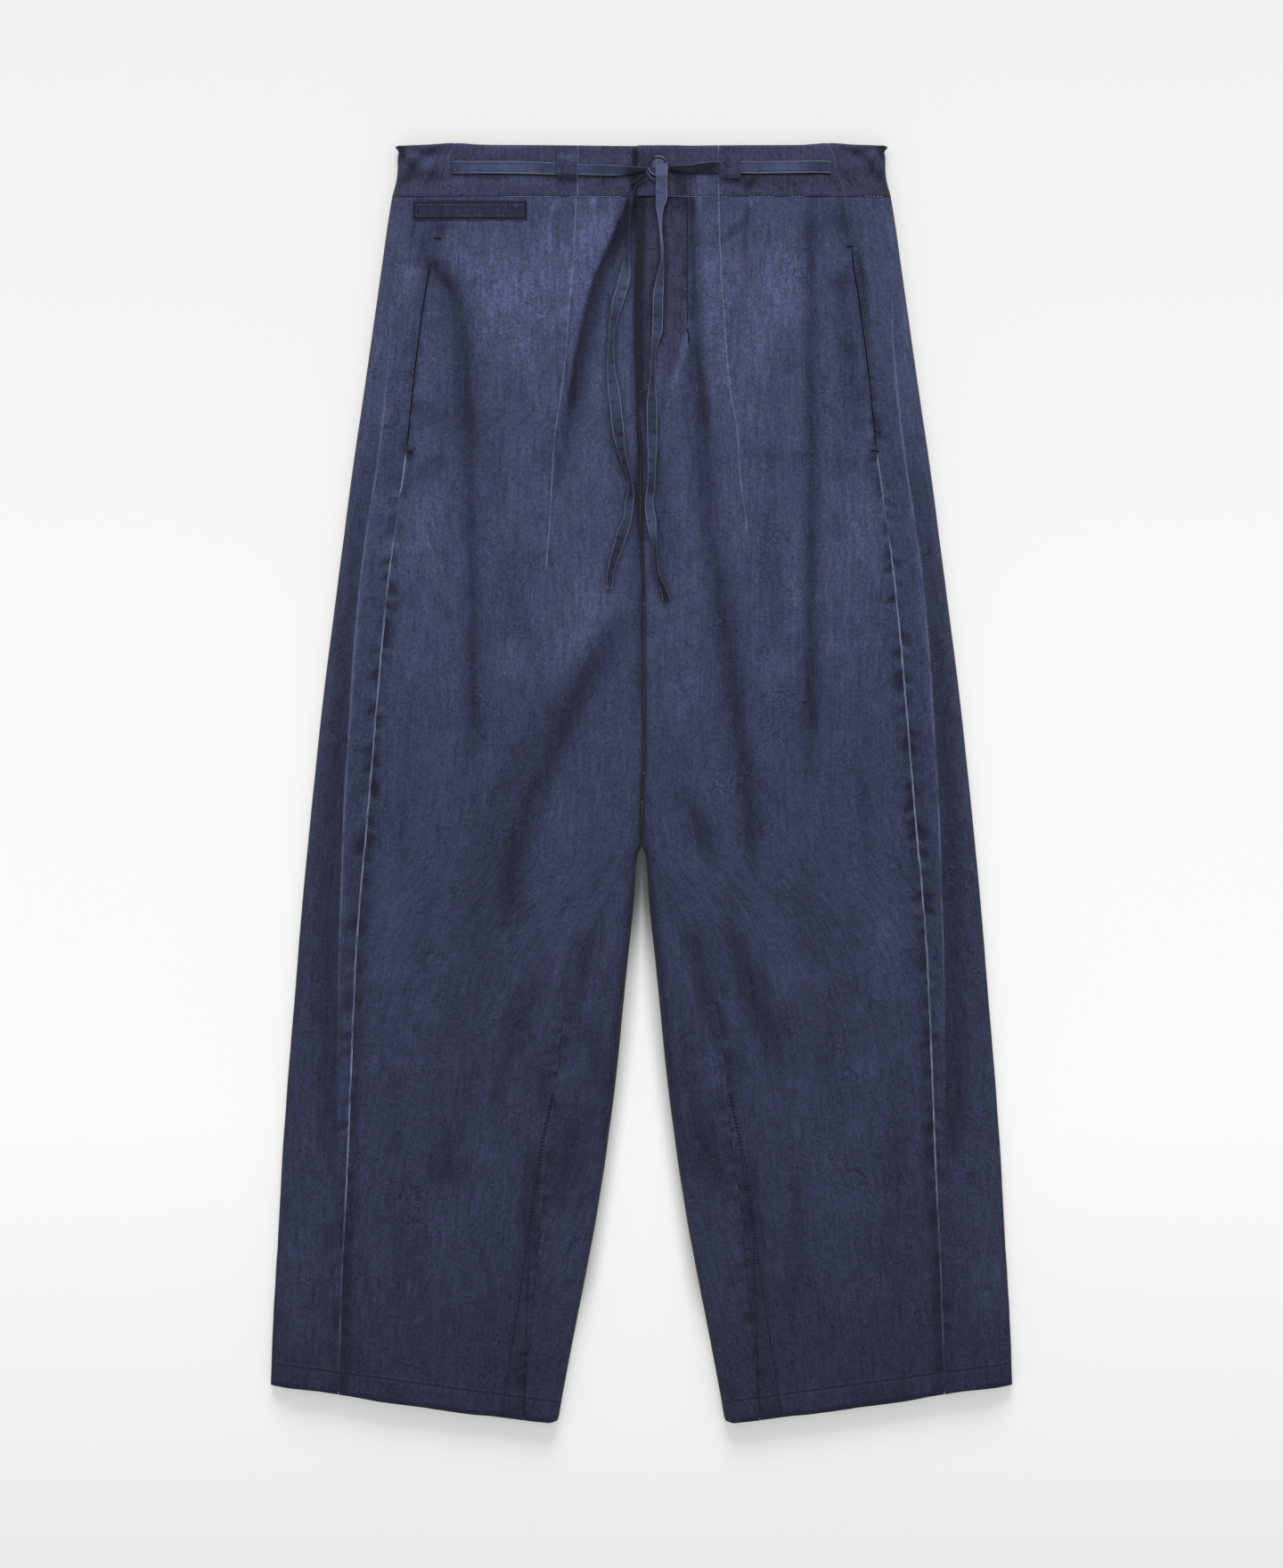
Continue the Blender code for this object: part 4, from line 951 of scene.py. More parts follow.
def fade_and_shade_at(points):
    """How pale the cloth is at each point: darker towards the hems, lighter and darker in places,
    partly from wash fading and partly painted light and shade, with painted shade and painted light
    in folds, on puckers, along the edges and hem and beside the hanging ends.
    """
    x, y = points[..., 0], points[..., 1]
    row = leg_row(x, y)
    fade = along(TONE_DOWN_THE_GARMENT, row, 0, 1)
    for px, py, half_width, half_height, amount in PATCHES:
        fade = fade + amount * bell(np.hypot((x - px) / half_width, (y - py) / half_height), 1.0)
    for folds, ends in ((LARGE_FOLDS, LARGE_FADE), (FINE_FOLDS, FINE_FADE), (SHADE_AND_LIGHT_BANDS, TONE_FADE)):
        fade = fade - fold_depths(folds, ends, x, y, "shade")
    fade = fade + pucker_shade_and_light(x, y)
    fade = fade + 0.03 * lattice_noise(x, y, 30.0, 60.0, 31) + 0.02 * lattice_noise(x, y, 11.0, 26.0, 32)
    fade = fade - shadow_of_ends(x, y) - edge_shade(x, row)
    from_stitching = row - HEM_Y - HEM_DEPTH
    by_seam = bell(np.abs(x) - leg("side_seam", row) - 2.0, 14.0)
    # painted light just above the hem's stitching, painted shade in its groove, more by the side seam, and the hem
    # below painted a little paler
    fade = fade + 0.20 * bell(from_stitching - 1.3, 0.8)
    fade = fade - (0.20 + 0.30 * by_seam) * bell(from_stitching, 0.7)
    return fade + 0.02 * smoothstep(1.0, -2.0, from_stitching)


def mouth(y, side):
    """1 along a pocket mouth in the side seam, 0 above and below it."""
    low, top = POCKET_RIGHT if side == RIGHT else POCKET_LEFT
    return smoothstep(low - 3.0, low + 9.0, y) * (1.0 - smoothstep(top - 9.0, top + 3.0, y))


def seam_wear(y):
    """Wear of the side seam's raised edge: strong below the pockets, faint above."""
    places, wear = zip(*SEAM_WEAR)
    return np.interp(-y, [-place for place in places], wear)


def front_lift(y):
    """Extra height of the wearer's left front where it laps over the fly."""
    return (TWILL + SEAM_GAP + LAP_SLACK + 0.2) * smoothstep(LAP_END_Y - 95.0, LAP_END_Y - 25.0, y)


def leg_heights():
    low = HEM_Y + HEM_DEPTH
    near = (low - 2.0, low - 1.0, low, low + 0.7, low + 1.4, low + 2.3)
    return stations(BAND_SEAM_Y - SEAM_GAP / 2.0, HEM_Y, ROW_PITCH, extra=near)[:, None]


def hem_wave(points, y, side):
    """The hem's edge isn't quite straight: it waves by about a millimetre."""
    near = smoothstep(HEM_Y + 30.0, HEM_Y, y)
    wave = 0.12 * lattice_noise(points[..., 0], 0.0 * points[..., 0], 34.0, 10.0, 41 + side)
    points[..., 1] += near * (wave - along(HEM_SAG, np.abs(points[..., 0]), 0, 1))
    corner = smoothstep(HEM_INNER_X + 9.0, HEM_INNER_X - 1.0, np.abs(points[..., 0]))
    points[..., 1] += 2.4 * corner * smoothstep(HEM_Y + 6.0, HEM_Y, y)


def leg_front(name, side, material):
    y = leg_heights()
    last = u_at_x(y, leg("side_seam", y) - SEAM_GAP / 2.0)
    if side == LEFT:
        over = LAP_OVER + 2.0 * bell(y - 380.0, 60.0)
        reach = -over / LAP_UNDER * smoothstep(LAP_END_Y - 22.0, LAP_END_Y + 12.0, y)
    else:
        reach = -smoothstep(LAP_END_Y, LAP_END_Y + 14.0, y)
    edge = np.maximum(u_at_x(y, leg("inseam", y) + INSEAM_GAP), SEAM_AT_EDGE)
    u, run = spread(y, np.where(reach < 0.0, reach, edge), last, side, lambda at: COLUMN_PITCH)
    points = ring(y, u, side)
    px, py, pz = views(points)
    away = run[:, -1:] - run
    open_mouth = mouth(py, side)
    if side == LEFT:
        pz += front_lift(y) * (1.0 - smoothstep(LAP_FLAT_X, LAP_FADE_X, np.abs(px)))
    pz += MOUTH_LIFT * open_mouth * bell(away, 4.0) - 0.35 * bell(away, 1.4)
    px -= side * MOUTH_GAPE * open_mouth * bell(away, 9.0)
    pz -= BAND_SEAM_SINK * bell(BAND_SEAM_Y - y, 1.6)
    hem_wave(points, y, side)
    fade = fade_and_shade_at(points)
    # painted shade in the pocket's mouth and in the hollow beside the side seam
    fade -= 0.26 * open_mouth * bell(away, 2.0) + 0.15 * (1.0 - open_mouth) * bell(away - 3.0, 6.0)
    dull = 0.0
    if side == LEFT:
        slant = FLY_STITCH_X - 0.30 * np.maximum(FLY_STITCH_END_Y - py, 0.0)
        on_fly = smoothstep(slant + 0.8, slant - 1.6, px) * smoothstep(215.0, 345.0, py)
        # the fly is darker, and the line along the lap's edge is painted shade
        fade -= FLY_DARK * on_fly + 0.40 * bell(run, 0.9) * smoothstep(225.0, 265.0, y)
        dull = 0.6 * on_fly
    inseam = np.abs(px) - leg("inseam", y)
    allowance = smoothstep(20.0, 14.0, inseam) * smoothstep(-250.0, -320.0, y)
    fade -= 0.05 * allowance
    line, end_y = DARTS[side]
    dart = along(line, py)
    beyond = np.maximum(end_y - py, 0.0)
    values = {
        "fade": fade,
        "dull": np.maximum(dull, 0.5 * allowance),
        "worn": seam_wear(y),
        "edge_mm": away,
        "dart_mm": px - dart + 8.0 * beyond * np.where(px < dart, -1.0, 1.0),
    }
    uv = np.stack([run * side + FRONT_U, py + LEG_V], -1)
    return wall(name, points, TWILL, (len(y) // 2, u.shape[1] // 2), uv, values, material)


def leg_back(name, side, material):
    y = leg_heights()
    first = u_at_x(y, leg("side_seam", y) + SEAM_GAP / 2.0)
    inseam = u_at_x(y, leg("inseam", y) - INSEAM_GAP)
    last = 6.0 + np.where(leg("inseam", y) > inner_edge(y) + 0.3, inseam, -1e-3)
    u, run = spread(y, first, last, side,
                    lambda at: np.where((at > 3.6) & (at < 5.1), UNDER_PITCH, COLUMN_PITCH))
    points = ring(y, u, side)
    px, py, pz = views(points)
    open_mouth = mouth(py, side)
    front = u < 3.0
    pz -= MOUTH_SINK * open_mouth * bell(run, 5.0) + 0.3 * bell(run, 1.4)
    pz -= front * BAND_SEAM_SINK * bell(BAND_SEAM_Y - y, 1.6)
    hem_wave(points, y, side)
    np.maximum(pz, 0.0, out=pz)
    crease = np.abs(px) - along(PRESSED_CREASE, py)
    pressed = smoothstep(-250.0, -20.0, y) * smoothstep(400.0, 350.0, y)
    pz += front * 0.55 * pressed * bell(crease, 2.2)
    # painted shade on the underside, more in its creases
    under = along(TONE_DOWN_THE_GARMENT, y, 0, 1) - UNDER_DARK - fold_depths(UNDER_FOLDS, LARGE_FADE, px, py, "shade")
    fade = np.where(front | (u > 6.0), fade_and_shade_at(points), under)
    # painted shade in the pocket's mouth and beside the side seam
    fade -= 0.14 * open_mouth * bell(run, 4.0) + front * 0.05 * (1.0 - open_mouth) * bell(run - 2.0, 7.0)
    # a painted highlight beside the pressed crease, and painted shade on the strip that turns down from it to the
    # outer edge and on the cloth inboard of it
    pale = 0.07 + 0.06 * smoothstep(240.0, 190.0, y) * smoothstep(40.0, 80.0, y)
    fade += front * pressed * pale * bell(crease + 1.6, 2.4)
    strip = smoothstep(-350.0, -270.0, y) * smoothstep(310.0, 230.0, y) * smoothstep(-1.0, 2.0, crease)
    depth = 0.19 + 0.07 * bell(y - 100.0, 80.0)
    fade -= front * depth * strip * smoothstep(26.0, 8.0, crease)
    fade -= front * 0.07 * pressed * smoothstep(0.0, -6.0, crease)
    from_inseam = run[:, -1:] - run
    values = {
        "fade": fade,
        "dull": (u > 5.5) * 0.4 * bell(from_inseam, 9.0) * smoothstep(-200.0, -300.0, y),
        "worn": seam_wear(y),
        "edge_mm": run * 1.6,
        "crease_mm": np.where(u < 3.2, crease / np.maximum(pressed, 0.05), NONE_NEAR),
    }
    uv = np.stack([run * side + BACK_U, py + LEG_V], -1)
    return wall(name, points, TWILL, (len(y) // 2, 1), uv, values, material)


# Waistband

def band_relief(x, y):
    """Small pinches of the waistband, strongest at its two upper corners."""
    out = 200.0 - np.abs(x)
    down = BAND_TOP_Y - y
    angle = np.arctan2(down, np.maximum(out, 1.0))
    distance = np.hypot(out, down)
    rays = np.cos(angle * 9.0 + 0.7) * bell(distance - 22.0, 22.0) * 0.85
    soft = 0.45 * lattice_noise(x + 0.4 * y, y, 13.0, 10.0, 51) + 0.6 * lattice_noise(x, y, 40.0, 22.0, 52)
    edge = -0.9 * bell(down, 1.1) - 0.5 * bell(y - BAND_SEAM_Y, 1.0)
    drag = -fold_depths(BAND_FOLDS, BAND_FADE, x, y, "depth")
    return rays + soft + edge + drag


def band_edges(points, y):
    """The band's top edge sags at the centre and sticks out in small ears at the corners."""
    x = np.abs(points[..., 0])
    top = smoothstep(BAND_TOP_Y - 14.0, BAND_TOP_Y, y)
    sag = 0.8 * bell(x, 60.0) + 0.4 * smoothstep(160.0, 200.0, x) - 1.5 * bell(x - 152.0, 16.0)
    points[..., 1] -= sag * top
    out = smoothstep(188.0, 198.0, x)
    ear = 2.0 * smoothstep(BAND_TOP_Y - 3.5, BAND_TOP_Y - 0.2, y) - 0.7 * bell(y - BAND_TOP_Y + 5.0, 2.0)
    points[..., 0] += np.sign(points[..., 0]) * ear * out


# Tone of the waistband: base tone and mottle, painted light on its raised pinches and painted shade in its hollows and
# folds, a lighter strip below the right tape, a painted shadow line under each tape, and painted shade below the left
# tape and where the band turns down at both ends
def band_fade_and_shade(points):
    x, y = points[..., 0], points[..., 1]
    fade = BAND_FADED + 0.10 * lattice_noise(x, y, 24.0, 12.0, 53) + 0.05 * band_relief(x, y)
    fade = fade - fold_depths(BAND_FOLDS, BAND_FADE, x, y, "shade")
    fade = fade + 0.12 * bell(y - 488.0, 5.0) * smoothstep(-54.0, -70.0, x) * smoothstep(-158.0, -146.0, x)
    for tape in (TAPE_RIGHT, TAPE_LEFT):
        low, high = sorted((tape[0][0], tape[-1][0]))
        along_tape = smoothstep(low - 1.0, low + 1.0, x) * smoothstep(high + 1.0, high - 1.0, x)
        shadow = y - along(tape, x, 0, 1) + along(tape, x, 0, 2) / 2.0 + 0.8
        fade = fade - 0.36 * bell(shadow, 0.9) * along_tape
    shade_below_left_tape = smoothstep(70.0, 76.0, x) * smoothstep(166.0, 154.0, x) * bell(y - 487.0, 6.0)
    return fade - 0.12 * shade_below_left_tape - 0.16 * smoothstep(186.0, 200.0, np.abs(x))


def band_heights():
    below_tape = np.arange(491.4, 495.0, 0.5)
    return stations(BAND_SEAM_Y + SEAM_GAP / 2.0, BAND_TOP_Y, BAND_PITCH, extra=below_tape)[:, None]


def band_wear(y):
    """Wear of the waistband's side seam, which the tape's end hides halfway up."""
    return 0.26 - 0.24 * smoothstep(485.0, 489.0, y) * smoothstep(507.0, 503.0, y)


def waistband_front(name, side, material):
    y = band_heights()
    last = u_at_x(y, leg("side_seam", y) - SEAM_GAP / 2.0)
    reach = -LAP_OVER / LAP_UNDER if side == LEFT else -1.0
    u, run = spread(y, reach + 0.0 * y, last, side, lambda at: COLUMN_PITCH)
    points = ring(y, u, side, creased=False)
    px, py, pz = views(points)
    raised = BAND_TWILL + SEAM_GAP + LAP_SLACK + 0.2 if side == LEFT else 0.0
    pz += raised * (1.0 - smoothstep(LAP_FLAT_X, LAP_FADE_X, side * px))
    pz += band_relief(px, py)
    away = run[:, -1:] - run
    pz -= 0.5 * bell(away, 1.2)
    if side == LEFT:
        pz -= 0.5 * bell(run, 1.0)
    band_edges(points, y)
    values = {"fade": band_fade_and_shade(points), "dull": BAND_DULL, "worn": band_wear(y), "edge_mm": away,
              "dart_mm": px - DARTS_ON_BAND[side]}
    uv = np.stack([run * side + FRONT_U, py + BAND_V], -1)
    return wall(name, points, BAND_TWILL, (len(y) // 2, u.shape[1] // 2), uv, values, material)


def waistband_back(name, material):
    """The back waistband runs under the garment and wraps round both outer edges."""
    y = band_heights()
    first = u_at_x(y, leg("side_seam", y) + SEAM_GAP / 2.0)
    halves, runs = [], []
    for side in (RIGHT, LEFT):
        u, run = spread(y, first, 5.0 + 0.0 * y, side,
                        lambda at: np.where(at > 3.9, UNDER_PITCH, COLUMN_PITCH))
        points = ring(y, u, side, creased=False)
        relief_here = band_relief(points[..., 0], points[..., 1]) - 0.5 * bell(run, 1.2)
        points[..., 2] += np.where(u < 3.0, relief_here, 0.0)
        halves.append(points)
        runs.append(run)
    points = np.concatenate([halves[0], halves[1][:, ::-1]], axis=1)
    band_edges(points, y)
    run = np.concatenate([runs[0], 2.0 * runs[0][:, -1:] - runs[1][:, ::-1] + 16.0], axis=1)
    values = {"fade": band_fade_and_shade(points), "dull": BAND_DULL, "worn": band_wear(y),
              "edge_mm": np.minimum(run, run[:, -1:] - run)}
    uv = np.stack([run + BAND_BACK_U, points[..., 1] + BAND_V], -1)
    return wall(name, points, BAND_TWILL, (len(y) // 2, 1), uv, values, material)


# What is laid on

def height_finder(pieces):
    """Height in millimetres of the highest of some pieces at places x, y."""
    points, faces, count = [], [], 0
    for piece in pieces:
        mesh = piece.data
        coordinates = np.empty(len(mesh.vertices) * 3)
        mesh.vertices.foreach_get("co", coordinates)
        points.append(coordinates.reshape(-1, 3))
        faces += [[corner + count for corner in face.vertices] for face in mesh.polygons]
        count += len(mesh.vertices)
    tree = BVHTree.FromPolygons(np.concatenate(points).tolist(), faces)
    down = Vector((0.0, 0.0, -1.0))

    def height(x, y):
        x, y = np.broadcast_arrays(np.asarray(x, float), np.asarray(y, float))
        found = np.zeros(x.size)
        for k, (px, py) in enumerate(zip(x.ravel(), y.ravel())):
            hit = tree.ray_cast(Vector((px * MM, py * MM, 0.2)), down)[0]
            found[k] = hit.z / MM if hit is not None else 0.0
        return found.reshape(x.shape)
    return height


def covering_line(values, reach=3):
    """A running mean of a running maximum along a line, so that nothing shows through."""
    for pick in (np.max, np.mean):
        padded = np.pad(values, reach, mode="edge")
        values = pick(np.lib.stride_tricks.sliding_window_view(padded, 2 * reach + 1), axis=1)
    return values


def cross_creases(length):
    """Creases across a tape, 9 to 17 mm apart: -1 in their hollows, slightly above 0 beside them."""
    places = np.cumsum(np.random.default_rng(67).uniform(9.0, 17.0, 60))
    depth = np.random.default_rng(68).uniform(0.45, 1.0, 60)
    away = length[:, None] - places[None, :]
    return np.sum(depth * (0.45 * bell(away, 4.5) - 1.2 * bell(away, 1.7)), axis=1)


def ribbon(name, middle, widths, floor, material, arch=1.0, tone=0.5, pale=(1.0, 1.0), crumple=1.0):
    """A flat tape along a line of places (x, y), laid at a height above the surface.

    Where it is narrower than its real width it is folded along its length, so it stands higher.
    pale is how pale its two selvedges are, seen along the line the left one first.
    """
    count, across = len(middle), 9
    tangent = np.gradient(middle, axis=0)
    tangent /= np.linalg.norm(tangent, axis=1, keepdims=True)
    sideways = np.stack([tangent[:, 1], -tangent[:, 0]], -1)
    s = np.linspace(-1.0, 1.0, across)
    widths, tone = widths[:, None], np.reshape(tone, (-1, 1))
    folded = smoothstep(TAPE_WIDTH * 0.85, TAPE_WIDTH * 0.35, widths)
    x = middle[:, :1] + sideways[:, :1] * s * widths / 2.0
    y = middle[:, 1:] + sideways[:, 1:] * s * widths / 2.0
    rise = arch * folded * (0.95 * (1.0 - s ** 2) ** 0.8)
    edge = 0.16 * bell(np.abs(s) - 0.9, 0.14)
    length = np.concatenate([[0.0], np.cumsum(np.linalg.norm(np.diff(middle, axis=0), axis=1))])
    one_side = 0.5 + 0.5 * np.tanh(2.5 * s * np.sin(length[:, None] / 9.0))
    cross = crumple * cross_creases(length)[:, None] * one_side * np.minimum(widths / TAPE_WIDTH, 1.0)
    cross = cross * (1.0 - 0.8 * smoothstep(0.6, 0.75, tone))
    z = floor[:, None] + TAPE + rise + edge + 0.35 * cross
    points = np.stack([x, y, z], -1)
    uv = np.stack(np.broadcast_arrays((s + 1.0) * 500.0, length[:, None]), -1)
    slow = lattice_noise(length, 0.0 * length, 15.0, 9.0, 69)
    first, second = (np.broadcast_to(one, (count,))[:, None] for one in pale)
    # the cross creases get painted shade in their hollows and painted light beside them
    values = {"fade": tone + 0.10 * slow[:, None] + 0.46 * cross, "dull": folded,
              "worn": np.where(s < 0.0, first, second)}
    return wall(name, points, TAPE, (count // 2, across // 2), uv, values, material)


def waist_tape(name, places, height, material):
    order = sorted(places)
    x = np.arange(order[0][0], order[-1][0], TAPE_PITCH)
    y = along(places, x, 0, 1) + 0.35 * lattice_noise(x, 0.0 * x, 23.0, 10.0, 61)
    widths, tone, selvedge = (along(places, x, 0, column) for column in (2, 3, 4))
    rows = [height(x, y + shift * widths) for shift in (-0.5, -0.25, 0.0, 0.25, 0.5)]
    floor = covering_line(np.max(rows, axis=0)) + 0.25
    middle = np.stack([x, y], -1)
    return ribbon(name, middle, widths, floor, material, arch=0.4, tone=tone, pale=(1.0, selvedge),
                  crumple=0.4)


def hanging_end(name, places, height, material, tones, pale):
    """A free end of the drawstring, and the line that it follows, in metres.

    tones and pale are tables of how pale it and its selvedge at -x are at heights y.
    """
    y = np.arange(places[-1][1], places[0][1], TAPE_PITCH)[::-1]
    x, widths = along(places, y, 1, 0), along(places, y, 1, 2)
    lean = np.gradient(x, y)
    rows = [height(x + shift * widths * 0.5, y - shift * lean * widths * 0.5)
            for shift in (-1.0, -0.5, 0.0, 0.5, 1.0)]
    floor = covering_line(np.max(rows, axis=0)) + 0.2
    floor += 0.25 * (1.0 + lattice_noise(y, 0.0 * y, 12.0, 9.0, 62))
    piece = ribbon(name, np.stack([x, y], -1), widths, floor, material, tone=along(tones, y, 0, 1),
                   pale=(1.0, along(pale, y, 0, 1)))
    path = np.stack([x, y, floor + TAPE / 2.0], -1) * MM
    return piece, [tuple(point) for point in (*path[:-1:8], path[-1])]


def fold_at_knot(name, height, material):
    x = np.linspace(KNOT_FOLD[0][0], KNOT_FOLD[-1][0], 14)
    y, widths = along(KNOT_FOLD, x, 0, 1), along(KNOT_FOLD, x, 0, 2)
    floor = covering_line(height(x, y)) + 1.4
    return ribbon(name, np.stack([x, y], -1), widths, floor, material, tone=0.9)


def belt_loop(name, middle, height, tape_top, material, pale_cap):
    """A cloth loop over the tape, sewn down above and below it."""
    half, rim = LOOP_WIDTH / 2.0, (0.0, 0.4, 1.0)
    x, y = np.meshgrid(stations(middle - half, middle + half, 1.4, edge=rim),
                       stations(LOOP_FOOT_Y, LOOP_TOP_Y, 1.2, edge=rim))
    base = float(height(middle, 480.0)) + 0.7
    over = smoothstep(LOOP_FOOT_Y + 0.6, LOOP_FOOT_Y + 3.2, y)
    over = over * (1.0 - smoothstep(LOOP_TOP_Y - 9.6, LOOP_TOP_Y - 5.6, y))
    edge = np.minimum(x - x[0, 0], x[0, -1] - x)
    z = np.maximum(base, 14.4) + (tape_top - base + 0.45) * over
    z = z + TWILL - 0.35 * bell(edge, 0.8) - 0.16 * bell(edge - 3.0, 0.7)
    points = np.stack([x, y, z], -1)
    fade = 0.34 + 0.22 * pale_cap * bell(y - 505.0, 3.0) + 0.06 * lattice_noise(x, y, 6.0, 6.0, 63)
    # painted shade at the sewn-down foot and in the grooves of the edge stitching
    fade = fade - 0.12 * bell(y - LOOP_FOOT_Y, 2.5) - 0.05 * bell(edge - 3.0, 0.8)
    values = {"fade": fade, "dull": 0.5, "worn": 0.45 * pale_cap, "edge_mm": x[0, -1] - x}
    return wall(name, points, TWILL, (3, 3), points[..., :2] + LOOP_U, values, material)


def coin_pocket_welt(name, height, material):
    """The jetted mouth of the coin pocket: a strip with a dark slit along its middle."""
    rim = (0.0, 0.35, 0.7, 1.05, 1.4, 1.8, 2.2, 2.7, 3.3)
    x, y = np.meshgrid(stations(*WELT_X, 2.0, edge=rim), stations(*WELT_Y, 1.1, edge=rim))
    edge = np.minimum(np.minimum(x - WELT_X[0], WELT_X[1] - x), np.minimum(y - WELT_Y[0], WELT_Y[1] - y))
    z = front_height(x, y) + soft_waves(x, y) * 0.6 + 0.35 + TWILL
    z = z - 0.25 * bell(edge, 0.8) - 0.3 * bell(edge - 1.4, 0.5)
    top = height(x, y) + 0.12 + 0.35 * smoothstep(0.0, 1.0, edge)
    points = np.stack([x, y, np.maximum(z, top + 0.2)], -1)
    # a dark line painted as shade in the stitching's groove, and pale lines on the edge and on the ridge inside it,
    # painted light and wear
    fade = 0.14 + 0.36 * bell(edge - 2.3, 0.45) + 0.10 * bell(edge - 0.2, 0.4)
    fade = fade - 0.42 * bell(edge - 1.1, 0.6) + 0.04 * lattice_noise(x, y, 14.0, 6.0, 64)
    values = {"fade": fade, "dull": 0.75, "edge_mm": edge}
    return wall(name, points, TWILL - 0.2, (len(y) // 2, 8), points[..., :2] + WELT_U, values, material)


def turned(name, middle, low, radius, profile, material, sides=72, lumps=0.0):
    """A round piece turned from (share of the radius, height) pairs, with its height as given."""
    angles = np.linspace(0.0, 2.0 * math.pi, sides, endpoint=False)
    rings, uv = [], []
    for share, height in profile:
        wobble = 1.0 + lumps * lattice_noise(angles * 9.0, 0.0 * angles + height * 7.0, 5.0, 4.0, 65)
        uneven = lumps * 1.6 * lattice_noise(angles * 7.0, 0.0 * angles + share * 9.0, 4.0, 3.0, 66)
        x = middle[0] + radius * share * wobble * np.cos(angles)
        y = middle[1] + radius * share * wobble * np.sin(angles)
        rings.append(np.stack([x, y, low + height + uneven * share], -1))
        uv.append(np.stack([angles * 160.0, np.full(sides, share * 1000.0)], -1))
    around = np.arange(sides)
    beside = (around + 1) % sides
    faces = []
    for k in range(len(profile) - 1):
        low_ring, high_ring = k * sides, (k + 1) * sides
        faces += np.stack([around + low_ring, beside + low_ring, beside + high_ring, around + high_ring],
                          -1).tolist()
    faces.append(around[::-1].tolist())
    faces.append((around + (len(profile) - 1) * sides).tolist())
    shares = {"fade": np.repeat([share for share, _ in profile], sides)}
    return mesh_object(name, np.concatenate(rings) * MM, faces, np.concatenate(uv) * MM, shares, material)


# Materials

TWILL_BLUES = ((0.0, "#191c2c"), (0.2, "#282d42"), (0.5, "#3a3f5a"), (0.75, "#484e6e"), (1.0, "#5a628a"))
TWILL_PLUMS = ((0.0, "#1a1b29"), (0.2, "#2a2c3e"), (0.5, "#41435f"), (0.75, "#4d506f"), (1.0, "#5f6488"))
TAPE_BLUES = ((0.0, "#191c2a"), (0.3, "#353a52"), (0.6, "#4a506e"), (1.0, "#6b7196"))
PAPER_GREYS = ((0.0, "#f3f3f3"), (0.45, "#fbfbfb"), (0.72, "#fcfcfc"), (0.93, "#f1f1f1"), (1.0, "#ebebec"))

def linear(hex_colour):
    """An sRGB hex colour as linear red, green, blue and alpha."""
    parts = [int(hex_colour[k:k + 2], 16) / 255.0 for k in (1, 3, 5)]
    return (*[p / 12.92 if p <= 0.04045 else ((p + 0.055) / 1.055) ** 2.4 for p in parts], 1.0)


def add_node(tree, kind, inputs=(), **settings):
    """Add a node with its settings, then give each input a value or another node's output."""
    made = tree.nodes.new(kind)
    for name, value in settings.items():
        setattr(made, name, value)
    for key, value in dict(inputs).items():
        if isinstance(value, bpy.types.NodeSocket):
            tree.links.new(value, made.inputs[key])
        else:
            made.inputs[key].default_value = value
    return made


def new_material(name):
    material = bpy.data.materials.new(name)
    material.use_nodes = True
    material.node_tree.nodes.clear()
    return material, material.node_tree


def ramp(tree, factor, stops):
    made = add_node(tree, "ShaderNodeValToRGB", {0: factor})
    elements = made.color_ramp.elements
    while len(elements) < len(stops):
        elements.new(0.5)
    for element, (place, colour) in zip(elements, stops):
        element.position = place
        element.color = linear(colour)
    return made.outputs[0]


def maths(tree, operation, *values, clamp=False):
    inputs = dict(enumerate(values))
    return add_node(tree, "ShaderNodeMath", inputs, operation=operation, use_clamp=clamp).outputs[0]


def attribute(tree, name):
    return add_node(tree, "ShaderNodeAttribute", attribute_name=name).outputs["Fac"]


def mixed(tree, factor, first, second):
    made = add_node(tree, "ShaderNodeMix", {0: factor, 6: first, 7: second}, data_type="RGBA")
    return made.outputs[2]


def noise(tree, vector, scale, detail=2.0, roughness=0.5, **settings):
    inputs = {"Vector": vector, "Scale": scale, "Detail": detail, "Roughness": roughness}
    return add_node(tree, "ShaderNodeTexNoise", inputs, **settings).outputs[0]


def plus(tree, *values, clamp=False):
    return maths(tree, "ADD", *values, clamp=clamp)


def minus(tree, *values, clamp=False):
    return maths(tree, "SUBTRACT", *values, clamp=clamp)


def times(tree, *values):
    return maths(tree, "MULTIPLY", *values)


def line_mask(tree, distance, near, far):
    """1 within near of a line and 0 beyond far, from a signed distance in millimetres."""
    return map_range(tree, maths(tree, "ABSOLUTE", distance), near, far, 1.0, 0.0)


def map_range(tree, value, low, high, at_low, at_high):
    """A value carried over smoothly from one range to another."""
    inputs = {"Value": value, "From Min": low, "From Max": high, "To Min": at_low, "To Max": at_high}
    return add_node(tree, "ShaderNodeMapRange", inputs, interpolation_type="SMOOTHSTEP").outputs[0]


def share_between(tree, value, low, high):
    """0 at low and 1 at high, and straight between them."""
    inputs = {"Value": value, "From Min": low, "From Max": high}
    return add_node(tree, "ShaderNodeMapRange", inputs).outputs[0]


def cloth_place(tree):
    return add_node(tree, "ShaderNodeUVMap", uv_map="cloth").outputs[0]


def object_place(tree):
    return add_node(tree, "ShaderNodeTexCoord").outputs["Object"]


def squeezed(tree, uv, amount):
    """Places on the cloth that stretch a texture down the garment."""
    return add_node(tree, "ShaderNodeMapping", {"Vector": uv, "Scale": (1.0, amount, 1.0)}).outputs[0]


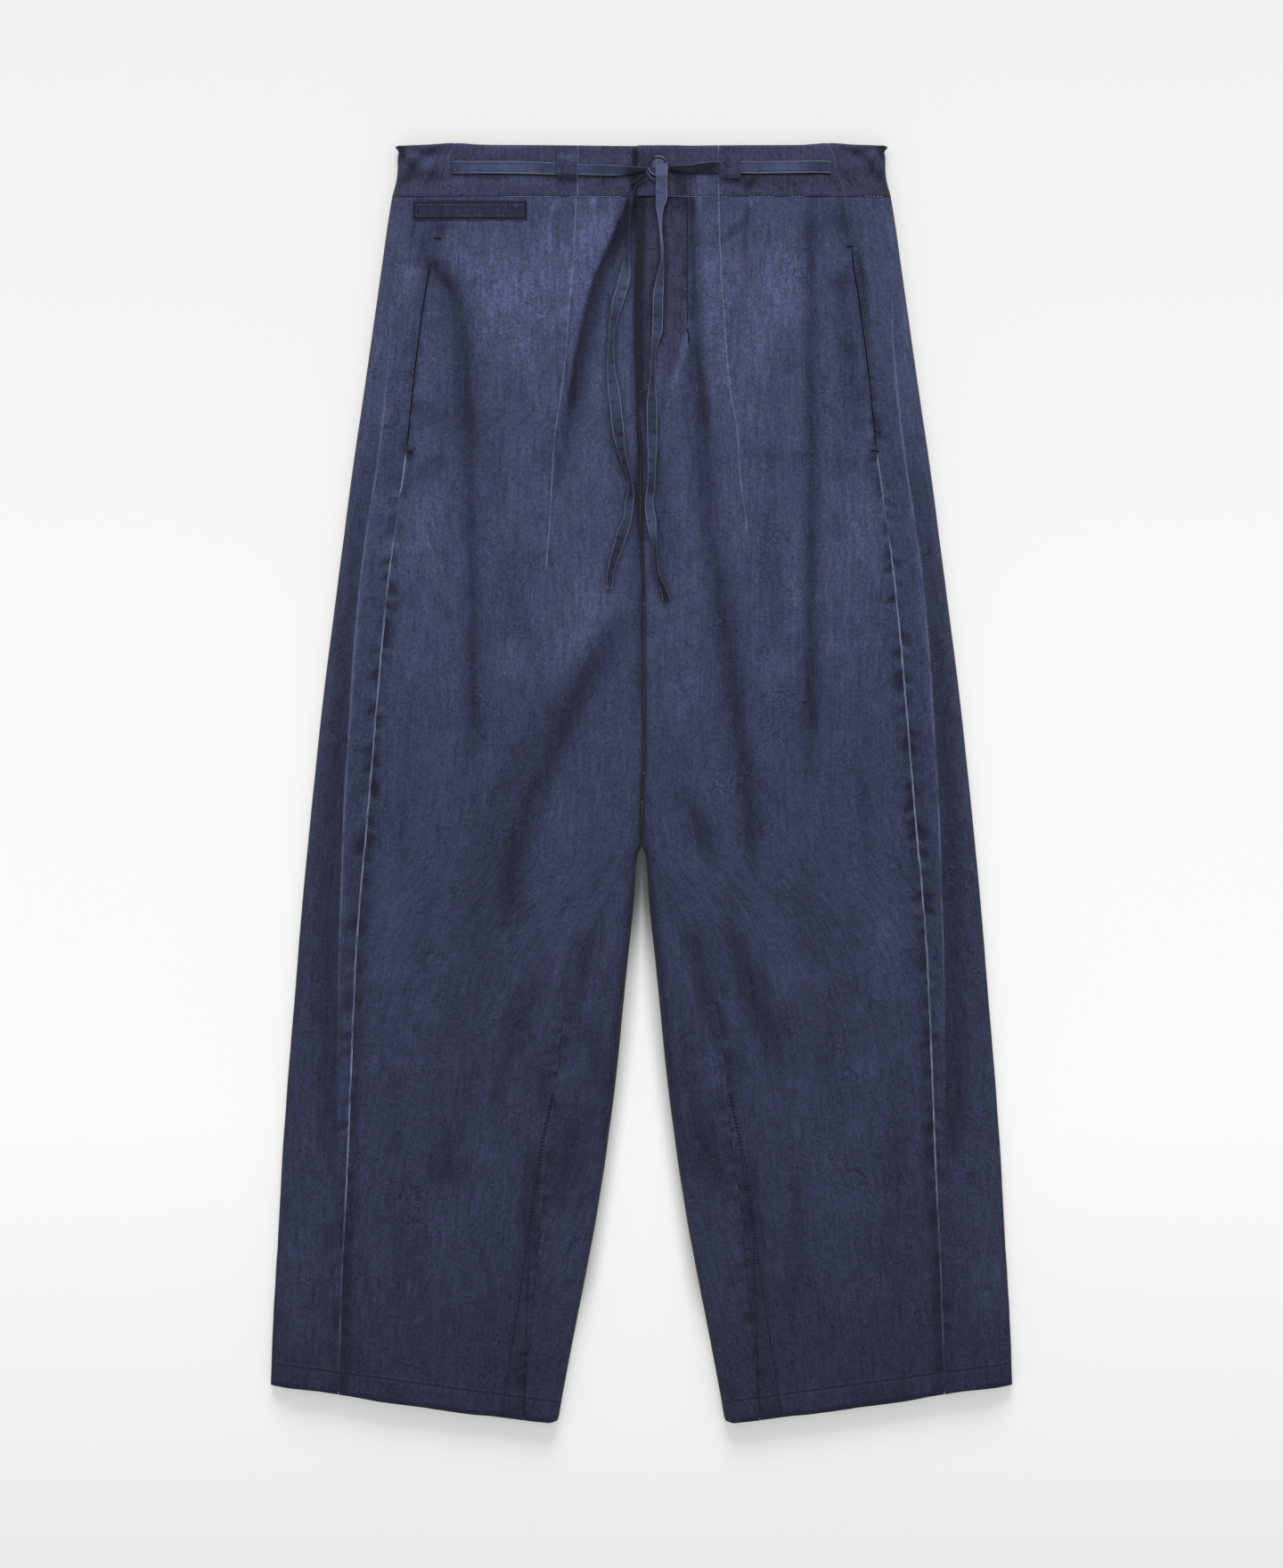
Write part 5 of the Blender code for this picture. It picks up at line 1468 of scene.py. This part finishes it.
def wave(tree, vector, scale, distortion, **settings):
    inputs = {"Vector": vector, "Scale": scale, "Distortion": distortion, "Detail": 2.0}
    return add_node(tree, "ShaderNodeTexWave", inputs, **settings).outputs[0]


def finish_material(tree, colour, roughness, bump_height, bump_distance, **settings):
    shader = add_node(tree, "ShaderNodeBsdfPrincipled", {
        "Base Color": colour, "Roughness": roughness, "Sheen Weight": settings.get("sheen", 0.0),
        "Sheen Roughness": 0.5, "Specular IOR Level": settings["specular"],
        "Metallic": settings.get("metallic", 0.0)})
    bump = add_node(tree, "ShaderNodeBump",
                    {"Height": bump_height, "Distance": bump_distance, "Strength": 1.0})
    tree.links.new(bump.outputs[0], shader.inputs["Normal"])
    add_node(tree, "ShaderNodeOutputMaterial", {"Surface": shader.outputs[0]})


def twill_material(name):
    # Garment-dyed cotton twill: uneven indigo that the wash has lifted off ridges and seam edges, with
    # painted shade in folds and hollows and painted light on ridges carried in the fade attribute, a
    # fine slubby grain and a net of faint pale wash creases
    material, tree = new_material(name)
    uv = cloth_place(tree)
    warp, down = squeezed(tree, uv, 0.48), squeezed(tree, uv, 0.11)
    fade = attribute(tree, "fade")
    cloudy = noise(tree, uv, 34.0, 4.0, 0.6)
    slub = noise(tree, warp, 560.0, 3.0, 0.7)
    crumple = noise(tree, uv, 26.0, 5.0, 0.62, noise_type="RIDGED_MULTIFRACTAL")
    veins = share_between(tree, crumple, 0.9, 1.7)
    # hair creases: thin lines of painted light with a side of painted shade, broken up into short pieces
    level = minus(tree, noise(tree, uv, 30.0, 3.0, 0.55, noise_dimensions="2D"), 0.5)
    lit_side = line_mask(tree, minus(tree, level, 0.012), 0.004, 0.014)
    shaded_side = line_mask(tree, plus(tree, level, 0.012), 0.004, 0.016)
    short_pieces = share_between(tree, noise(tree, uv, 19.0, 2.0, 0.5), 0.47, 0.62)
    hair = times(tree, minus(tree, lit_side, shaded_side), short_pieces)
    # each layer of the grain and how strongly it shows
    grain = 0.0
    for layer, amount in ((slub, 1.10), (noise(tree, uv, 430.0, 2.0, 0.6), 0.70),
                          (noise(tree, down, 300.0, 3.0, 0.6), 0.75),
                          (noise(tree, warp, 165.0, 3.0, 0.6), 0.58), (cloudy, 0.36)):
        grain = plus(tree, grain, times(tree, minus(tree, layer, 0.5), amount))
    # the palest cloth shows its grain most
    grain = times(tree, grain, plus(tree, times(tree, fade, 0.85), 0.32))
    tone = plus(tree, plus(tree, fade, grain), times(tree, hair, 0.11))
    tone = plus(tree, tone, times(tree, veins, 0.10), clamp=True)
    blue = ramp(tree, tone, TWILL_BLUES)
    plum = ramp(tree, tone, TWILL_PLUMS)
    colour = mixed(tree, attribute(tree, "dull"), blue, plum)
    violet = times(tree, noise(tree, uv, 15.0, 2.0, 0.5), 0.22)
    colour = mixed(tree, violet, colour, mixed(tree, tone, linear("#2b2a3d"), linear("#57567c")))
    broken = share_between(tree, noise(tree, uv, 30.0, 4.0, 0.6), 0.36, 0.50)
    seam = times(tree, line_mask(tree, attribute(tree, "edge_mm"), 0.2, 0.75), attribute(tree, "worn"))
    dart = times(tree, line_mask(tree, attribute(tree, "dart_mm"), 0.15, 0.9), 0.34)
    crease = times(tree, line_mask(tree, attribute(tree, "crease_mm"), 0.1, 1.3), 0.24)
    lines = maths(tree, "MAXIMUM", seam, maths(tree, "MAXIMUM", dart, crease))
    lines = times(tree, lines, plus(tree, times(tree, broken, 0.72), 0.22))
    colour = mixed(tree, lines, colour, linear("#8b90ac"))
    turn = (0.0, 0.0, math.radians(60.0))
    diagonal = add_node(tree, "ShaderNodeMapping", {"Vector": uv, "Rotation": turn}).outputs[0]
    # the real wales are 0.6 mm apart and would not show, so they are drawn 1.5 mm apart
    wales = wave(tree, diagonal, 105.0, 1.2)
    height = plus(tree, times(tree, slub, 0.55), times(tree, wales, 0.12))
    height = plus(tree, height, times(tree, plus(tree, veins, hair), 0.9))
    height = minus(tree, height, times(tree, dart, 0.5))
    rough = plus(tree, times(tree, cloudy, 0.1), 0.82)
    finish_material(tree, colour, rough, height, 0.00025, sheen=0.06, specular=0.16)
    return material


def tape_material(name):
    # Woven cotton tape: paler than the cloth, palest along its two selvedges, crumpled across, with
    # painted shade in its cross creases
    material, tree = new_material(name)
    across = add_node(tree, "ShaderNodeSeparateXYZ", {0: cloth_place(tree)}).outputs[0]
    off_middle = times(tree, maths(tree, "ABSOLUTE", minus(tree, across, 0.5)), 2.0)
    selvedge = times(tree, share_between(tree, off_middle, 0.84, 0.97), attribute(tree, "worn"))
    place = object_place(tree)
    grain = noise(tree, place, 700.0, 3.0, 0.6)
    tone = plus(tree, attribute(tree, "fade"), times(tree, minus(tree, grain, 0.5), 0.40))
    tone = minus(tree, tone, times(tree, attribute(tree, "dull"), 0.12), clamp=True)
    colour = ramp(tree, tone, TAPE_BLUES)
    colour = mixed(tree, times(tree, selvedge, 0.50), colour, linear("#9499b5"))
    threads = wave(tree, place, 260.0, 0.6, bands_direction="Y")
    height = plus(tree, times(tree, threads, 0.25), times(tree, grain, 0.4))
    finish_material(tree, colour, 0.88, height, 0.0003, sheen=0.05, specular=0.16)
    return material


def button_material(name):
    # Overdyed pressed brass: dark blue lacquer worn off along the raised rim, where a painted highlight
    # also lies, and painted shade in its groove and round its outline
    material, tree = new_material(name)
    share = attribute(tree, "fade")
    grain = noise(tree, object_place(tree), 300.0, 4.0, 0.6)
    rim = times(tree, line_mask(tree, minus(tree, share, 0.92), 0.015, 0.04), 0.50)
    rim_wear_and_highlight = times(tree, rim, share_between(tree, grain, 0.42, 0.56))
    base = mixed(tree, map_range(tree, grain, 0.40, 0.66, 0.0, 1.0), linear("#1b1e2e"), linear("#4c5379"))
    groove = line_mask(tree, minus(tree, share, 0.80), 0.03, 0.08)
    outline = line_mask(tree, minus(tree, share, 1.0), 0.02, 0.06)
    dark = times(tree, maths(tree, "MAXIMUM", groove, outline), 0.85)
    colour = mixed(tree, dark, mixed(tree, rim_wear_and_highlight, base, linear("#9aa1c0")), linear("#161927"))
    finish_material(tree, colour, 0.5, grain, 0.0001, specular=0.4, metallic=0.2)
    return material


def thread_material(name, colour_hex):
    # Polyester-cotton sewing thread, dyed with the garment
    material, tree = new_material(name)
    grain = noise(tree, object_place(tree), 900.0, 2.0, 0.5)
    pale = linear(colour_hex)
    dark = tuple(0.6 * part for part in pale[:3]) + (1.0,)
    finish_material(tree, mixed(tree, grain, dark, pale), 0.75, grain, 0.0001, specular=0.2)
    return material


def floor_material(name):
    # Matt white paper with a painted glow, an emission that keeps shadows on it pale. It is a little
    # greyer at both ends and has painted shadow close to the inner edges of the legs
    material, tree = new_material(name)
    place = add_node(tree, "ShaderNodeSeparateXYZ", {0: object_place(tree)})
    off_centre, y = maths(tree, "ABSOLUTE", place.outputs[0]), place.outputs[1]
    colour = ramp(tree, share_between(tree, y, 0.63, -0.63), PAPER_GREYS)
    # the inner edges lie about 0.1 t + 0.09 t squared from the centre line, t below the crotch
    fall = maths(tree, "MAXIMUM", minus(tree, -0.05, y), 0.0)
    edge = times(tree, fall, plus(tree, times(tree, fall, 0.09), 0.1))
    near = map_range(tree, minus(tree, edge, off_centre), 0.0, 0.016, 1.0, 0.0)
    strength = map_range(tree, y, -0.08, -0.17, 0.97, 0.38)
    ends = map_range(tree, y, -0.39, -0.46, 1.0, 0.0)
    between = times(tree, map_range(tree, y, -0.01, -0.05, 0.0, 1.0),
                    map_range(tree, off_centre, 0.075, 0.11, 1.0, 0.0))
    shade = times(tree, times(tree, near, times(tree, strength, ends)), between)
    colour = mixed(tree, shade, colour, linear("#5a5c5e"))
    shader = add_node(tree, "ShaderNodeBsdfPrincipled", {
        "Base Color": mixed(tree, 0.37, colour, linear("#000000")), "Roughness": 0.95,
        "Specular IOR Level": 0.0, "Emission Color": colour, "Emission Strength": 0.355})
    add_node(tree, "ShaderNodeOutputMaterial", {"Surface": shader.outputs[0]})
    return material


# Stitches

def stitch_tree():
    """Geometry Nodes: small bead-shaped stitches along the lines of a mesh."""
    tree = bpy.data.node_groups.new("stitches_along_lines", "GeometryNodeTree")
    for label, kind, way in (("Lines", "Geometry", "INPUT"), ("Pitch", "Float", "INPUT"),
                             ("Length", "Float", "INPUT"), ("Thread", "Float", "INPUT"),
                             ("Finish", "Material", "INPUT"), ("Stitches", "Geometry", "OUTPUT")):
        tree.interface.new_socket(label, in_out=way, socket_type="NodeSocket" + kind)
    given = add_node(tree, "NodeGroupInput").outputs

    def made(kind, inputs=(), **settings):
        return add_node(tree, kind, inputs, **settings).outputs[0]

    line = made("GeometryNodeMeshToCurve", {"Mesh": given["Lines"]})
    even = made("GeometryNodeResampleCurve", {"Curve": line, "Length": given["Pitch"]}, mode="LENGTH")
    bead = made("GeometryNodeMeshIcoSphere", {"Radius": 0.5, "Subdivisions": 1})
    size = made("ShaderNodeCombineXYZ", {0: given["Length"], 1: given["Thread"], 2: given["Thread"]})
    tangent = made("GeometryNodeInputTangent")
    turn = made("FunctionNodeAlignRotationToVector", {"Vector": tangent}, axis="X")
    limits = {"Min": (0.75, 0.8, 0.8), "Max": (1.05, 1.1, 1.1), "Seed": 7}
    uneven = made("FunctionNodeRandomValue", limits, data_type="FLOAT_VECTOR")
    scale = made("ShaderNodeVectorMath", {0: size, 1: uneven}, operation="MULTIPLY")
    placed = made("GeometryNodeInstanceOnPoints", {"Points": even, "Instance": bead, "Rotation": turn,
                                                   "Scale": scale})
    real = made("GeometryNodeRealizeInstances", {"Geometry": placed})
    painted = made("GeometryNodeSetMaterial", {"Geometry": real, "Material": given["Finish"]})
    add_node(tree, "NodeGroupOutput", {"Stitches": painted})
    return tree


def bridging(height, reach):
    """The higher of the surfaces above and below a seam that runs across."""
    return lambda x, y: np.maximum(height(x, y - reach), height(x, y + reach))


def line_points(places, height, lift=0.15, pitch=2.0, square=False):
    """Places (x, y) joined by a smooth or a straight line, on the surface, in metres."""
    places = np.asarray(places, float)
    length = np.concatenate([[0.0], np.cumsum(np.linalg.norm(np.diff(places, axis=0), axis=1))])
    at = np.arange(0.0, length[-1], pitch)
    if square:
        x, y = np.interp(at, length, places[:, 0]), np.interp(at, length, places[:, 1])
    else:
        x, y = monotone(length, places[:, 0], at), monotone(length, places[:, 1], at)
    return np.stack([x, y, height(x, y) + lift], -1) * MM


def stitches(name, tree, lines, material, pitch, length, thread):
    """One joined mesh of all the stitches along some lines."""
    points, edges = [], []
    for line in lines:
        edges += [(len(points) + k, len(points) + k + 1) for k in range(len(line) - 1)]
        points += line.tolist()
    mesh = bpy.data.meshes.new(name + "_lines")
    mesh.from_pydata(points, edges, [])
    guide = added_object(name + "_lines", mesh)
    modifier = guide.modifiers.new("stitches", "NODES")
    modifier.node_group = tree
    identifiers = {item.name: item.identifier for item in tree.interface.items_tree}
    for label, value in (("Pitch", pitch), ("Length", length), ("Thread", thread)):
        modifier[identifiers[label]] = value * MM
    modifier[identifiers["Finish"]] = material
    evaluated = guide.evaluated_get(bpy.context.evaluated_depsgraph_get())
    made = bpy.data.meshes.new_from_object(evaluated)
    bpy.data.objects.remove(guide, do_unlink=True)
    made.shade_smooth()
    return added_object(name, made)


def hem_line(side):
    x = np.linspace(HEM_INNER_X + 2.0, 296.0, 40)
    row = HEM_Y + HEM_DEPTH
    return [(side * a, row + row_tilt(row) * (a - HEM_INNER_X)) for a in x]


def box_line(x, y, inset):
    a, b = x[0] + inset, x[1] - inset
    c, d = y[0] + inset, y[1] - inset
    return [(a, c), (b, c), (b, d), (a, d), (a, c)]


# Light, floor and camera

PHOTO_HEIGHT = 1760
MM_PER_PIXEL = 0.72
CAMERA_LENS = 85.0
CAMERA_SENSOR = 36.0
CLOTH_LEVEL = 0.015
FLOOR_HALF = 6.0
FLOOR_Z = -0.0002
ROOM_LIGHT = 0.66
KEY_TOWARDS = (0.0, 1.0, 0.46)
KEY_STRENGTH = 2.6
KEY_SPREAD = 30.0        # degrees


def sewing(surface):
    """The visible sewing, one joined mesh for each kind of row."""
    tree = stitch_tree()
    dark = thread_material("dark_sewing_thread", "#15192c")
    washed = thread_material("washed_sewing_thread", "#272b3e")
    faded = thread_material("faded_sewing_thread", "#8a90b0")
    black = thread_material("black_bartack_thread", "#141620")
    over_seam = bridging(surface, 1.2)
    fly = [(FLY_STITCH_X, y) for y in (472.0, 420.0, 372.0)]
    sides = (RIGHT, LEFT)
    # name, thread, pitch, length and width of a stitch, lines
    kinds = (
        ("hem_stitching", washed, 3.2, 2.5, 0.5,
         [line_points(hem_line(side), surface, 0.05) for side in sides]),
        ("waist_seam_stitching", faded, 2.6, 2.6, 0.7,
         [line_points([(start, WAIST_ROW_Y), (end, WAIST_ROW_Y)], over_seam, 0.0)
          for start, end in WAIST_ROWS]),
        ("inseam_stitching", dark, 3.0, 2.4, 1.3,
         [line_points([(side * x, y) for x, y in row], surface, 0.02, square=True)
          for side in sides for row in INSEAM_ROWS]),
        ("bartacks", black, 0.55, 1.1, 1.5,
         [line_points(bar, surface, 0.3, pitch=0.4, square=True) for bar in BARTACKS]),
        ("tape_and_pocket_bag_stitching", dark, 1.9, 1.5, 0.5,
         [line_points(row, surface, 0.05, square=True) for row in FINE_ROWS]),
        ("fly_and_welt_stitching", dark, 2.4, 2.4, 1.15,
         [line_points(box_line(WELT_X, WELT_Y, 1.5), surface, 0.1, square=True),
          line_points(fly, surface, 0.1)]),
    )
    return [stitches(name, tree, lines, thread, *sizes) for name, thread, *sizes, lines in kinds]


def add_soft_light(name, towards, strength, spread_degrees):
    """Even light from one direction with soft shadows, as from a distant large softbox."""
    data = bpy.data.lights.new(name, "SUN")
    data.angle = math.radians(spread_degrees)
    data.energy = strength
    added_object(name, data).rotation_euler = Vector(towards).to_track_quat("Z", "Y").to_euler()


def studio():
    scene = bpy.context.scene
    camera = added_object("camera", bpy.data.cameras.new("camera"))
    camera.data.sensor_width = CAMERA_SENSOR
    camera.data.lens = CAMERA_LENS
    frame_height = PHOTO_HEIGHT * MM_PER_PIXEL * MM
    camera.location = (0.0, 0.0, CLOTH_LEVEL + frame_height * CAMERA_LENS / CAMERA_SENSOR)
    scene.camera = camera
    scene.view_settings.view_transform = "Standard"
    scene.view_settings.look = "None"

    mesh = bpy.data.meshes.new("floor")
    corners = [(x * FLOOR_HALF, y * FLOOR_HALF, FLOOR_Z) for x, y in ((-1, -1), (1, -1), (1, 1), (-1, 1))]
    mesh.from_pydata(corners, [], [(0, 1, 2, 3)])
    mesh.materials.append(floor_material("white_studio_paper"))
    floor = added_object("floor", mesh)
    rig.stage(floor)

    world = bpy.data.worlds.new("studio")
    world.use_nodes = True
    background = world.node_tree.nodes["Background"].inputs
    background[0].default_value = (1.0, 1.0, 1.0, 1.0)
    background[1].default_value = ROOM_LIGHT
    scene.world = world
    add_soft_light("key", KEY_TOWARDS, KEY_STRENGTH, KEY_SPREAD)


def belt_loops(height, on_tape, twill):
    loops = []
    for label, middle, pale_cap in LOOPS:
        top = float(on_tape(middle + np.linspace(-9.0, 9.0, 7), TAPE_Y).max())
        loops.append(belt_loop(label, middle, height, top, twill, pale_cap))
    return loops


def knot_and_button(tape, brass):
    """The knot and the button over it, at the heights that they have in the solids."""
    place = (BUTTON_X, BUTTON_Y)
    base = float(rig.box("drawstring_knot")[0][2]) / MM
    knot = turned("knot_of_tape", place, base, KNOT_RADIUS, KNOT_PROFILE, tape, KNOT_SIDES,
                  KNOT_LUMPS)
    low = float(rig.box("button")[0][2]) / MM
    button = turned("pressed_button", place, low, BUTTON_RADIUS, BUTTON_PROFILE, brass)
    return knot, button


def state_bodies(pieces):
    """Tell the frame what each piece rides on, and what it replaces there."""
    root = "root"
    for piece in pieces:
        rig.ride(piece, root)
        if piece.name in NODES:
            node, slot = NODES[piece.name]
            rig.replaces(piece, node)
            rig.slot(piece, slot)


def state_cords(cords):
    for piece, path in cords:
        length = sum(math.dist(a, b) for a, b in zip(path, path[1:]))
        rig.cord(piece, exit=path[0], length=length, diameter=TAPE_WIDTH * MM, far_end="bare",
                stiffness="limp", lay="loose", path=path)


def main():
    twill = twill_material("garment_dyed_cotton_twill")
    tape = tape_material("woven_cotton_tape")
    brass = button_material("overdyed_pressed_brass")

    fronts = {side: leg_front(name, side, twill)
              for side, name in ((RIGHT, "front_leg_right"), (LEFT, "front_leg_left"))}
    backs = {side: leg_back(name, side, twill)
             for side, name in ((RIGHT, "back_leg_right"), (LEFT, "back_leg_left"))}
    band_right = waistband_front("band_front_right", RIGHT, twill)
    band_left = waistband_front("band_front_left", LEFT, twill)
    band_back = waistband_back("band_back", twill)
    cloth = [*fronts.values(), *backs.values(), band_right, band_left, band_back]
    height = height_finder(cloth)

    welt = coin_pocket_welt("welt_of_coin_pocket", height, twill)
    tape_right = waist_tape("tape_right", TAPE_RIGHT, height, tape)
    tape_left = waist_tape("tape_left", TAPE_LEFT, height, tape)
    on_tape = height_finder([tape_right, tape_left])
    loops = belt_loops(height, on_tape, twill)
    knot, button = knot_and_button(tape, brass)

    with_button = height_finder([*cloth, button, knot, tape_right, tape_left])
    front_end, front_path = hanging_end("front_end_of_drawstring", FRONT_END, with_button, tape,
                                        FRONT_TONES, FRONT_PALE)
    without_button = height_finder([*cloth, tape_right])
    back_end, back_path = hanging_end("back_end_of_drawstring", BACK_END, without_button, tape,
                                      BACK_TONES, BACK_PALE)
    knot_fold = fold_at_knot("fold_of_tape_at_knot", without_button, tape)
    sewn = sewing(height_finder([*cloth, welt, *loops, tape_right, tape_left]))

    state_bodies((*cloth, welt, tape_right, tape_left, *loops, knot, button, front_end, back_end,
                  knot_fold, *sewn))
    for piece, under in ((fronts[RIGHT], [backs[RIGHT]]), (fronts[LEFT], [backs[LEFT], fronts[RIGHT]]),
                         (backs[RIGHT], []), (backs[LEFT], []), (band_back, []), (band_right, [band_back]),
                         (band_left, [band_back, band_right]), (welt, [fronts[RIGHT], backs[RIGHT]]),
                         (loops[0], [band_right, tape_right]), (loops[1], [band_left, tape_left])):
        flat, area = CUTS[piece.name]
        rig.sheet(piece, flat=flat, held="laid", rests_on=under, area=area)
    studio()
    state_cords(((front_end, front_path), (back_end, back_path)))


main()
with open("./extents.json", "w") as file:
    sizes = {"cad": cad_box, "visual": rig.bounds()}
    json.dump({key: [[float(v) for v in corner] for corner in box] for key, box in sizes.items()}, file)
